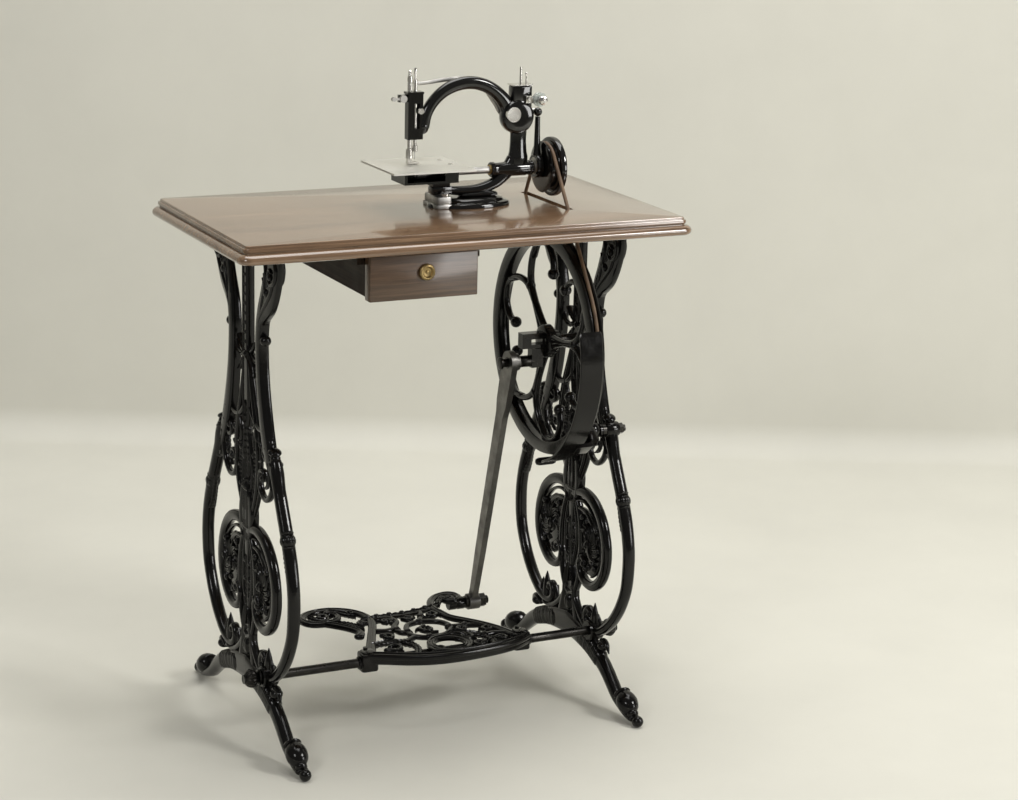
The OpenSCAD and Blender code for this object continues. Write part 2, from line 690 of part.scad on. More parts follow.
// the openwork of the treadle, seen from above
module treadle_web() {
  ribbon([[-98, -70, 17], [-84, -40, 14], [-68, -4, 13], [-54, 28, 13], [-47, 56, 13], [-53, 84, 13],
    [-72, 104, 13], [-97, 113, 13], [-123, 108, 13], [-139, 90, 13], [-134, 68, 12], [-113, 61, 11],
    [-93, 69, 11], [-86, 86, 10], [-97, 99, 10]]);
  ribbon([[-120, 66, 11], [-100, 46, 11], [-86, 26, 11], [-80, 8, 11], [-88, -6, 15]]);
  ribbon([[-52, 56, 13], [-28, 57, 15], [-8, 57, 15], [10, 57, 15], [30, 61, 15], [48, 66, 14], [66, 74, 13]]);
  ribbon([[60, 40, 12], [57, 62, 12], [64, 90, 12], [80, 109, 12], [98, 115, 12], [110, 108, 11],
    [111, 94, 11], [102, 84, 10], [90, 86, 9], [86, 98, 8]]);
  ribbon([[59, 50, 12], [64, 22, 12], [78, 2, 12], [96, -22, 13], [110, -48, 14], [120, -78, 16]]);
  ribbon([[-18, -14, 9], [-6, 12, 9], [20, 20, 9], [44, 8, 9], [49, -16, 9], [32, -40, 9], [4, -44, 9],
    [-15, -32, 9], [-18, -12, 9]]);
  ribbon([[-20, 56, 10], [-15, 32, 9], [-28, 10, 9], [-27, -10, 9], [-14, -18, 9]]);
  ribbon([[34, 60, 10], [26, 38, 9], [14, 18, 9]]);
  ribbon([[46, -14, 9], [72, -18, 9], [94, -24, 9]]);
  ribbon([[-86, -46, 9], [-60, -42, 9], [-38, -52, 9], [-28, -74, 9], [-40, -108, 9]]);
  ribbon([[-38, -52, 9], [-22, -40, 9], [-12, -34, 9]]);
  ribbon([[34, -40, 9], [58, -46, 9], [78, -64, 9], [84, -88, 9], [78, -110, 9]]);
  ribbon([[80, -64, 9], [98, -62, 9], [114, -68, 9]]);
  ribbon([[-64, 10, 9], [-46, 2, 9], [-32, 4, 9]]);
}

module treadle_plate() {
  cx = 14;
  color([0.05, 0.05, 0.05]) difference() {
    union() {
      translate([0, 0, rod_z + 7.2]) linear_extrude(7) {
        treadle_rim(15);
        treadle_web();
        difference() {
          dot(20, -80, 33);
          dot(20, -80, 22);
        }
      }
      translate([0, 0, rod_z - 7]) linear_extrude(14.3) treadle_rim(9);
      for (s = [-1, 1]) translate([cx + s * 117 - 13, rod_y - 13, rod_z - 12]) cube([26, 26, 24]);
      xcyl(cx + 78, 117.6, joint_y, joint_z, 9);
    }
    xcyl(-200, 200, rod_y, rod_z, rod_r + fit);
  }
}

module treadle_bolts() {
  color([0.4, 0.4, 0.4]) for (s = [-1, 1]) for (y = [-10, 10])
    zcyl(14 + s * 117, rod_y + y, rod_z + 14.3, rod_z + 18, 3.2);
}

// ---- turning parts of the head ----

module main_shaft() {
  color([0.7, 0.7, 0.7]) xcyl(-4, 203, 0, shaft_z, 5);
}

module hand_wheel() {
  color([0.05, 0.05, 0.05]) difference() {
    translate([0, 0, shaft_z]) rotate([0, 90, 0]) rotate_extrude() polygon([[0, 195.1], [14, 195.1],
      [30, 197], [hand_r - 7, 195.1], [hand_r - 1, 195.1], [hand_r, 197], [hand_r, 202], [hand_r - 2, 204],
      [hand_r - 7, 204], [hand_r - 9, 201], [16, 200], [13, 204], [9, 206], [0, 206]]);
    xcyl(150, 203.1, 0, shaft_z, 5 + fit);
  }
}

module belt_pulley() {
  color([0.06, 0.06, 0.06]) difference() {
    translate([0, 0, shaft_z]) rotate([0, 90, 0]) rotate_extrude() polygon([[0, 181], [29, 181],
      [33, 182], [36, 183], [36, 184], [hand_b - belt_r - 0.45, 186.4], [hand_b - belt_r - 0.45, 191.6],
      [36, 194], [36, 195], [0, 195]]);
    xcyl(150, 203.1, 0, shaft_z, 5 + fit);
  }
}

module eccentric() {
  color([0.7, 0.7, 0.7]) difference() {
    union() {
      xcyl(171, 180, 0, shaft_z + ecc, 12);
      xcyl(170, 171.1, 0, shaft_z, 8);
    }
    xcyl(150, 203, 0, shaft_z, 5 + fit);
  }
}

module looper() {
  color([0.8, 0.8, 0.8]) {
    difference() {
      xcyl(-8, 6, 0, shaft_z, 6.5);
      xcyl(-5, 20, 0, shaft_z, 5 + fit);
    }
    translate([-11, 0, shaft_z]) rotate([90, 0, 90]) rotate_extrude(angle = 210) translate([5, 0]) circle(1.7);
    xcyl(-12, -7.9, 5, shaft_z, 1.6);
  }
}

module eccentric_rod() {
  color([0.06, 0.06, 0.06]) difference() {
    union() {
      xcyl(171.3, 179.7, 0, shaft_z + ecc, 17);
      zcyl(rod_x, 0, shaft_z + ecc + 14, lever_z - 4, 3.6);
      translate([rod_x, 0, lever_z]) sphere(6.2);
      ycyl(rod_x, 0, 5.9, lever_z, 3.4);
    }
    xcyl(150, 200, 0, shaft_z + ecc, 12 + fit);
  }
}

module needle_lever() {
  color([0.75, 0.75, 0.75]) difference() {
    union() {
      face(10.4, 3.6) ribbon([[rod_x + 5, lever_z, 8], [158, lever_z + 1, 9], [lever_x, lever_z + 1, 17],
        [116, T + 140, 12], [98, T + 160, 9], [72, T + 172, 7], [42, T + 173, 6], [14, T + 170, 5],
        [-4, T + 169, 5]]);
      ycyl(lever_x, 8.6, 12.2, lever_z, 10);
      translate([-6.2, 3.9, T + 167.8]) cube([5, 8.3, 5]);
    }
    ycyl(lever_x, 0, 20, lever_z, 4 + fit);
  }
}

// ---- bars ----

module needle_bar() {
  color([0.85, 0.85, 0.85]) {
    zcyl(needle_x, 0, T + 82.1, T + 189, bar_r);
    zcyl(needle_x, 0, T + 188.9, T + 192, bar_r - 0.8);
  }
}

module needle_clamp() {
  color([0.85, 0.85, 0.85]) {
    difference() {
      zcyl(needle_x, 0, T + 170, T + 175, 3.7);
      zcyl(needle_x, 0, T + 169, T + 176, bar_r + fit);
    }
    difference() {
      zcyl(needle_x, 0, T + 78.6, T + 86.4, 4.1);
      zcyl(needle_x, 0, T + 82, T + 90, bar_r + fit);
      zcyl(needle_x, 0, T + 78, T + 83, 0.85);
    }
  }
}

module needle() {
  color([0.9, 0.9, 0.9]) translate([needle_x, 0, 0]) rotate_extrude()
    polygon([[0, T + 66], [0.45, T + 69], [0.5, T + 76], [0.8, T + 77.9], [0.8, T + 81.9], [0, T + 81.9]]);
}

module presser_bar() {
  color([0.85, 0.85, 0.85]) zcyl(presser_x, 0, T + 74, T + 189, bar_r);
}

module presser_foot() {
  color([0.85, 0.85, 0.85]) difference() {
    union() {
      zcyl(presser_x, 0, T + 69, T + 82, 4.8);
      translate([-21, -4.6, T + 61.8]) cube([16, 9.2, 2.5]);
      translate([-21, -3, T + 64.2]) cube([5.6, 6, 6]);
    }
    zcyl(presser_x, 0, T + 73.9, T + 90, bar_r + fit);
    zcyl(needle_x, 0, T + 60, T + 66, 1.9);
    zcyl(needle_x, 0, T + 66, T + 90, 4.6);
  }
}

module presser_nut() {
  color([0.85, 0.85, 0.85]) difference() {
    union() {
      zcyl(presser_x, 0, T + 174, T + 178, 3.9);
      zcyl(presser_x, 0, T + 177.9, T + 181, 3.5);
    }
    zcyl(presser_x, 0, T + 170, T + 190, bar_r + fit);
  }
}

module presser_lifter() {
  color([0.7, 0.7, 0.7]) {
    ycyl(-29, -6, -0.4, T + 151, 5);
    ycyl(-29, -1, 7, T + 151, 2);
    translate([-43, -5, T + 149.6]) cube([14, 3, 2.8]);
    ycyl(-43, -6, -1, T + 151, 3);
  }
}

side_frame_left();
side_frame_right();
stretcher_rod();
stretcher_nuts();
frame_screws();
table_top();
drawer_runners();
runner_screws();
head_base();
base_bolts();
machine_arm();
shaft_bushes();
needle_head();
head_clamp_screw();
cloth_plate();
plate_screws();
needle_plate();
feed_housing();
feed_dog();
spool_plate();
spool_pin();
thread_pin();
tension_bracket();
tension_stud();
tension_discs();
tension_spring();
tension_nut();
lever_pivot();
presser_spring();
dress_guard();
guard_bolt();
wheel_stud();
drive_belt();
flywheel();
crank();
crank_pin();
pitman_rod();
pitman_bush();
pitman_bolts();
treadle_plate();
treadle_bolts();
main_shaft();
hand_wheel();
belt_pulley();
eccentric();
looper();
eccentric_rod();
needle_lever();
needle_bar();
needle_clamp();
needle();
presser_bar();
presser_foot();
presser_nut();
presser_lifter();
drawer_front();
drawer_sides();
drawer_back();
drawer_bottom();
drawer_pull();
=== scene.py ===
import json
from math import asin, atan2, cos, degrees, hypot, pi, radians, sin, sqrt

import bmesh
import bpy
from mathutils import Matrix, Vector


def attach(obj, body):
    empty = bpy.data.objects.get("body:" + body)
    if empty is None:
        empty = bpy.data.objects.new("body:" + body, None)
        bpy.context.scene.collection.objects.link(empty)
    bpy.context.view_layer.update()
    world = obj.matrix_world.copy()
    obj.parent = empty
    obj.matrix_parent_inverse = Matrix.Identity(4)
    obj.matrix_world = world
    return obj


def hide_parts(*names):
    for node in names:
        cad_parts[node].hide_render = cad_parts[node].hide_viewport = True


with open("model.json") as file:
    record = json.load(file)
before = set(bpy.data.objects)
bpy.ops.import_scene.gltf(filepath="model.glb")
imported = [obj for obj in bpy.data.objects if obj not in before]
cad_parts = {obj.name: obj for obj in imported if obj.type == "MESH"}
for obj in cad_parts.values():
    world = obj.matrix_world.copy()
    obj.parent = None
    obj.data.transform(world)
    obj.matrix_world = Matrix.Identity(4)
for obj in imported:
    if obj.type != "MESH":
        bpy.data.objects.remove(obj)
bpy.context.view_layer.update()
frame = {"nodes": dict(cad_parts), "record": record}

# Shapes are drawn in millimetres in the row frame; Cast.build turns them into metres.
MM = 1000.0
N = frame["nodes"]
# top surface of the table
T = 720.0
# middle of each iron end, either side of the table's centre
END_X = 250
# plane that the flywheel, the pulley and the belt turn in, and the flywheel's centre in it
WHEEL_X = 189
HUB = (-20.0, T - 199)
# how far the crank pin's middle is below the flywheel's centre at rest
CRANK_R = 27
# bolt that holds the dress guard to the right iron end
GUARD_BOLT = (-108, 408)
# height of the head's horizontal shaft
SHAFT_Z = T + 47
# stretcher rod, which the treadle rocks on
ROD = (-75, 98)

# ---------------- materials


def new_mat(name, color, rough=0.5, metal=0.0, coat=0.0, coat_rough=0.1, spec=0.5):
    m = bpy.data.materials.new(name)
    m.use_nodes = True
    b = m.node_tree.nodes["Principled BSDF"]
    b.inputs["Base Color"].default_value = (*color, 1)
    b.inputs["Roughness"].default_value = rough
    b.inputs["Metallic"].default_value = metal
    b.inputs["Coat Weight"].default_value = coat
    b.inputs["Coat Roughness"].default_value = coat_rough
    b.inputs["Specular IOR Level"].default_value = spec
    b.inputs["IOR"].default_value = 1.5
    return m, m.node_tree, b


def link(nt, a, b):
    nt.links.new(a, b)


def tex_coord(nt, scale=(1, 1, 1)):
    """Object coordinates in metres, scaled."""
    tc = nt.nodes.new("ShaderNodeTexCoord")
    mp = nt.nodes.new("ShaderNodeMapping")
    mp.inputs["Scale"].default_value = scale
    link(nt, tc.outputs["Object"], mp.inputs["Vector"])
    return mp.outputs["Vector"]


def noise(nt, vec, scale, detail=4, rough=0.5, distort=0.0):
    n = nt.nodes.new("ShaderNodeTexNoise")
    n.inputs["Scale"].default_value = scale
    n.inputs["Detail"].default_value = detail
    n.inputs["Roughness"].default_value = rough
    n.inputs["Distortion"].default_value = distort
    link(nt, vec, n.inputs["Vector"])
    return n.outputs["Fac"]


def ramp(nt, fac, stops):
    """Colour ramp over fac, with stops [(position, colour), ...]."""
    r = nt.nodes.new("ShaderNodeValToRGB")
    e = r.color_ramp.elements
    while len(e) < len(stops):
        e.new(0.5)
    for el, (position, color) in zip(e, stops):
        el.position = position
        el.color = (*color, 1)
    link(nt, fac, r.inputs["Fac"])
    return r.outputs["Color"]


def grey(v):
    return (v, v, v)


def mix(nt, fac, a, b, mode="MIX"):
    """Mixes a and b by fac; each is a number, a colour or an output socket."""
    n = nt.nodes.new("ShaderNodeMix")
    n.data_type = "RGBA"
    n.blend_type = mode
    for sock, v in ((n.inputs[0], fac), (n.inputs[6], a), (n.inputs[7], b)):
        if hasattr(v, "links"):
            link(nt, v, sock)
        elif isinstance(v, tuple):
            sock.default_value = (*v, 1)
        else:
            sock.default_value = v
    return n.outputs[2]


def bump(nt, bsdf, height, dist, strength):
    n = nt.nodes.new("ShaderNodeBump")
    n.inputs["Strength"].default_value = strength
    n.inputs["Distance"].default_value = dist
    link(nt, height, n.inputs["Height"])
    link(nt, n.outputs["Normal"], bsdf.inputs["Normal"])


def edge_wear(nt, lo, hi):
    """White on sharp raised edges, from the mesh's own pointiness."""
    g = nt.nodes.new("ShaderNodeNewGeometry")
    return ramp(nt, g.outputs["Pointiness"], [(lo, grey(0)), (hi, grey(1))])


def japan(name, rough, base, cast=0.0, wear=0.0, coat=0.0, spec=0.3):
    """Black japan: deep gloss, slightly uneven, browner where it is rubbed; cast 1 for a sand-cast skin."""
    m, nt, b = new_mat(name, grey(base), rough, 0.0, coat, 0.05, spec)
    v = tex_coord(nt)
    patches = noise(nt, v, 9, 5, 0.6)
    specks = noise(nt, v, 70, 4, 0.6)
    dark, pale = (tuple(base * k for k in tone) for tone in ((0.8, 0.78, 0.75), (1.7, 1.55, 1.35)))
    col = ramp(nt, patches, [(0.3, dark), (0.7, pale)])
    rubbed = ramp(nt, specks, [(0.42, grey(0)), (0.66, grey(1))])
    rubbed = mix(nt, 1.0, edge_wear(nt, 0.55, 0.70), rubbed, "MULTIPLY")
    col = mix(nt, mix(nt, wear, grey(0), rubbed), col, (0.07, 0.055, 0.043))
    link(nt, col, b.inputs["Base Color"])
    r = ramp(nt, specks, [(0.3, grey(rough * 0.7)), (0.75, grey(rough * 1.5 + 0.05))])
    link(nt, r, b.inputs["Roughness"])
    grain = noise(nt, v, 260 if cast else 120, 3, 0.6)
    bump(nt, b, grain, 0.0001 + cast * 0.0003, 0.3)
    return m


def metal_mat(name, color, rough, dirt, scale=40):
    """Bare or plated metal, darker and duller in patches; dirt is how much darker."""
    m, nt, b = new_mat(name, color, rough, 1.0)
    v = tex_coord(nt)
    patches = noise(nt, v, scale, 5, 0.62)
    scratches = noise(nt, v, 900, 3, 0.7)
    dark = tuple(c * (1 - dirt) for c in color)
    link(nt, ramp(nt, patches, [(0.3, dark), (0.62, color)]), b.inputs["Base Color"])
    r = ramp(nt, patches, [(0.3, grey(rough * 1.7 + 0.04)), (0.7, grey(rough * 0.8))])
    link(nt, r, b.inputs["Roughness"])
    bump(nt, b, scratches, 0.00008, 0.5)
    return m


def wood(name, light, dark, rough, coat, grain=1.0, axis="X", spec=0.5):
    """Straight polished grain along the X or Y axis, with figure, pores and a worn varnish."""
    m, nt, b = new_mat(name, light, rough, 0.0, coat, 0.12, spec)
    along, across = {"X": ((0.7, 9, 9), (3, 110, 110)), "Y": ((9, 0.7, 9), (110, 3, 110))}[axis]
    v = tex_coord(nt, tuple(k * grain for k in along))
    fine_v = tex_coord(nt, tuple(k * grain for k in across))
    broad = noise(nt, v, 1.6, 3, 0.5, 0.6)
    rings = nt.nodes.new("ShaderNodeTexWave")
    rings.wave_type = "BANDS"
    rings.bands_direction = "Y" if axis == "X" else "X"
    rings.inputs["Scale"].default_value = 1.3
    rings.inputs["Distortion"].default_value = 7.5
    rings.inputs["Detail"].default_value = 4
    rings.inputs["Detail Scale"].default_value = 1.2
    link(nt, v, rings.inputs["Vector"])
    fine = noise(nt, fine_v, 2.2, 5, 0.65)
    pores = noise(nt, fine_v, 6.5, 3, 0.6)
    mid = tuple((a + c) / 2 for a, c in zip(light, dark))
    base = ramp(nt, rings.outputs["Fac"], [(0.1, mid), (0.55, light), (0.95, mid)])
    base = mix(nt, ramp(nt, broad, [(0.35, grey(0)), (0.7, grey(0.75))]), base, dark)
    streaks = ramp(nt, fine, [(0.3, tuple(c * 0.45 for c in dark)), (0.62, grey(1))])
    base = mix(nt, 0.6, base, streaks, "MULTIPLY")
    pore_mask = ramp(nt, pores, [(0.60, grey(0)), (0.70, grey(0.5))])
    base = mix(nt, pore_mask, base, tuple(c * 0.25 for c in dark))
    link(nt, base, b.inputs["Base Color"])
    smear = noise(nt, tex_coord(nt), 7, 4, 0.6)
    r = ramp(nt, smear, [(0.3, grey(rough * 0.75)), (0.72, grey(rough * 1.45))])
    link(nt, r, b.inputs["Roughness"])
    bump(nt, b, fine, 0.00025, 0.35)
    return m


def glass(name):
    """Clear glass with a little dust."""
    m, nt, b = new_mat(name, (0.86, 0.9, 0.88), 0.05)
    b.inputs["Transmission Weight"].default_value = 0.75
    dust = noise(nt, tex_coord(nt), 180, 3)
    link(nt, ramp(nt, dust, [(0.3, grey(0.03)), (0.7, grey(0.12))]), b.inputs["Roughness"])
    return m


def leather(name):
    """Dark oiled belt leather, uneven in tone and rough to the touch."""
    m, nt, b = new_mat(name, (0.10, 0.055, 0.03), 0.55, 0.0, 0.08, 0.3)
    v = tex_coord(nt)
    skin = noise(nt, v, 420, 5, 0.7)
    tone = ramp(nt, noise(nt, v, 60, 4), [(0.3, (0.085, 0.05, 0.028)), (0.7, (0.18, 0.115, 0.066))])
    link(nt, tone, b.inputs["Base Color"])
    link(nt, ramp(nt, skin, [(0.3, grey(0.42)), (0.7, grey(0.7))]), b.inputs["Roughness"])
    bump(nt, b, skin, 0.0004, 0.6)
    return m


def stage_mat(name, color):
    """Paper backdrop, a touch lighter and darker in broad patches."""
    m, nt, b = new_mat(name, color, 0.75, spec=0.25)
    n = noise(nt, tex_coord(nt), 3.0, 5, 0.6)
    lo, hi = (tuple(c * k for c in color) for k in (0.97, 1.03))
    link(nt, ramp(nt, n, [(0.3, lo), (0.7, hi)]), b.inputs["Base Color"])
    return m


def dress(node, mat):
    N[node].data.materials.clear()
    N[node].data.materials.append(mat)


# one material for each slot of the record
M = {
    "iron": japan("iron_japan", 0.11, 0.0036, cast=1.0, wear=0.25, spec=0.29),
    "enamel": japan("head_enamel", 0.06, 0.004, wear=0.1, coat=0.3, spec=0.45),
    "steel": metal_mat("worn_steel", (0.52, 0.51, 0.49), 0.30, dirt=0.4),
    "dark_steel": metal_mat("dark_steel", (0.045, 0.043, 0.04), 0.24, dirt=0.5),
    "nickel": metal_mat("nickel", (0.80, 0.78, 0.74), 0.13, dirt=0.22),
    "brass": metal_mat("aged_brass", (0.50, 0.37, 0.17), 0.30, dirt=0.55),
    "walnut": wood("table_walnut", (0.345, 0.22, 0.132), (0.17, 0.098, 0.055), 0.17, 0.9),
    "drawer_wood": wood("drawer_walnut", (0.145, 0.086, 0.048), (0.072, 0.04, 0.022), 0.34, 0.35, 1.25),
    "inner_wood": wood("inner_wood", (0.36, 0.23, 0.125), (0.22, 0.13, 0.065), 0.55, 0.05, 1.2, "Y"),
    "glass": glass("disc_glass"),
    "leather": leather("belt_leather"),
}
for part in frame["record"]["subparts"]:
    dress(part["node"], M[part["material_slot"]])

# nodes that are darker or paler in the photo than the rest of their slot
# drawer sides and runners: the drawer wood darkened to about a third, as painted shade for faces the lamps
# hardly reach
painted_shade_side_wood = wood("drawer_side_wood_painted_shade", (0.045, 0.028, 0.017), (0.025, 0.015, 0.009), 0.5, 0.0, 1.25, "Y", 0.15)
dress("drawer_sides", painted_shade_side_wood)
dress("drawer_runners", painted_shade_side_wood)
dress("pitman_rod", metal_mat("pitman_steel", (0.17, 0.165, 0.155), 0.30, dirt=0.35))
dress("cloth_plate", metal_mat("plate_nickel", (0.66, 0.65, 0.61), 0.34, dirt=0.06, scale=9))

# ---------------- stage, camera, lights (in metres)

CAM = Vector((-1.3723, -3.1461, 1.3560))
# the camera's turn to the right, tilt down and roll, in radians
YAW, PITCH, ROLL = 0.4485, 0.2583, 0.0236
SENSOR, LENS = 36.0, 89.66051
# how far the floor runs in front of the camera and behind it, and the curve up into the wall
FLOOR_FAR, FLOOR_NEAR, CURVE_R = 4.71, -4.5, 0.06
WALL_TOP, STAGE_HALF_W = 5.5, 7.0


def floor_sweep():
    """Floor and wall in one sweep, square to the camera."""
    profile = [(FLOOR_NEAR, 0.0), (FLOOR_FAR, 0.0)]
    for k in range(1, 9):
        a = radians(90 * k / 8)
        profile.append((FLOOR_FAR + CURVE_R * sin(a), CURVE_R - CURVE_R * cos(a)))
    profile.append((FLOOR_FAR + CURVE_R, WALL_TOP))
    bm = bmesh.new()
    rows = []
    for d, z in profile:
        row = []
        for s in (-STAGE_HALF_W, STAGE_HALF_W):
            x = CAM.x + sin(YAW) * d + cos(YAW) * s
            y = CAM.y + cos(YAW) * d - sin(YAW) * s
            row.append(bm.verts.new((x, y, z)))
        rows.append(row)
    for a, c in zip(rows, rows[1:]):
        bm.faces.new((a[0], a[1], c[1], c[0]))
    me = bpy.data.meshes.new("floor_sweep")
    bm.to_mesh(me)
    bm.free()
    for p in me.polygons:
        p.use_smooth = True
    me.materials.append(stage_mat("pale_paper", (0.655, 0.645, 0.58)))
    floor = bpy.data.objects.new("floor_sweep", me)
    bpy.context.scene.collection.objects.link(floor)
    return floor


floor_sweep()

cam_data = bpy.data.cameras.new("camera")
cam_data.sensor_width = SENSOR
cam_data.lens = LENS
cam = bpy.data.objects.new("camera", cam_data)
bpy.context.scene.collection.objects.link(cam)
ahead = Vector((sin(YAW) * cos(PITCH), cos(YAW) * cos(PITCH), -sin(PITCH)))
level = Vector((cos(YAW), -sin(YAW), 0))
above = level.cross(ahead)
right = level * cos(ROLL) + above * sin(ROLL)
up = above * cos(ROLL) - level * sin(ROLL)
cam.matrix_world = Matrix.Translation(CAM) @ Matrix((right, up, -ahead)).transposed().to_4x4()
bpy.context.scene.camera = cam


def area(name, pos, target, size, power, color):
    light = bpy.data.lights.new(name, "AREA")
    light.shape = "SQUARE"
    light.size = size
    light.energy = power
    light.color = color
    ob = bpy.data.objects.new(name, light)
    bpy.context.scene.collection.objects.link(ob)
    ob.location = pos
    ob.rotation_euler = (Vector(target) - Vector(pos)).to_track_quat("-Z", "Y").to_euler()


DAYLIGHT = (1, 0.99, 0.97)
area("key", (2.5, -2.7, 2.7), (0, 0, 0.5), 0.95, 80, (1, 0.985, 0.955))
area("fill", (-2.9, -2.0, 2.6), (0, 0, 0.5), 0.8, 27, DAYLIGHT)
area("card", (2.3, -2.7, 0.8), (0.05, 0, 0.55), 0.9, 24, DAYLIGHT)
area("top", (0.3, 0.4, 3.6), (0, 0, 0), 2.6, 96, DAYLIGHT)
world = bpy.data.worlds.new("world")
world.use_nodes = True
backdrop = world.node_tree.nodes["Background"]
backdrop.inputs["Color"].default_value = (1, 0.985, 0.94, 1)
backdrop.inputs["Strength"].default_value = 0.17
bpy.context.scene.world = world
bpy.context.scene.view_settings.view_transform = "Standard"

# ---------------- mesh helpers (in mm)


def smooth_curve(points, n):
    """Smooth curve through the rows of points, n steps to each span (Catmull-Rom)."""
    out = []
    for i in range(len(points) - 1):
        before, start = points[max(i - 1, 0)], points[i]
        end, after = points[i + 1], points[min(i + 2, len(points) - 1)]
        for j in range(n):
            t = j / n
            out.append([0.5 * (2 * q + (s - p) * t + (2 * p - 5 * q + 4 * s - w) * t * t
                               + (3 * q - p - 3 * s + w) * t ** 3)
                        for p, q, s, w in zip(before, start, end, after)])
    out.append(list(points[-1]))
    return out


def two_faced(front):
    """Closed section from half a front face [(a, b), ...], a falling from 1 to 0, mirrored all round."""
    front = list(front) + [(-a, b) for a, b in reversed(front) if a > 0]
    return front + [(a, -b) for a, b in reversed(front)]


def superellipse(n, power):
    """n points round x**power + y**power = 1; a power of 2 is a circle."""
    def part(c):
        return abs(c) ** (2 / power) * (1 if c > 0 else -1)
    return [(part(cos(2 * pi * k / n)), part(sin(2 * pi * k / n))) for k in range(n)]


# sections of a stroke: across the bar from 1 to -1, and out to its front and back faces
ROUND = superellipse(16, 2.0)
OVAL = superellipse(16, 2.5)
SLAB = two_faced([(1, 0.45), (0.94, 0.86), (0.8, 1.0), (0.4, 1.0), (0, 1.0)])
HOLLOW = two_faced([(1, 0.3), (0.94, 0.8), (0.8, 1.0), (0.66, 0.92), (0.52, 0.58), (0.3, 0.42), (0, 0.38)])
FLUTE = two_faced([(1, 0.35), (0.93, 0.8), (0.76, 1.0), (0.6, 0.9), (0.46, 0.66), (0.3, 0.9), (0.14, 1.0),
                   (0, 0.78)])
PLATE = two_faced([(1, 0.35), (0.96, 0.68), (0.86, 0.86), (0.5, 0.97), (0, 1.0)])
LEAF = two_faced([(1, 0.12), (0.8, 0.42), (0.5, 0.58), (0.22, 0.62), (0.1, 0.86), (0, 1.0)])


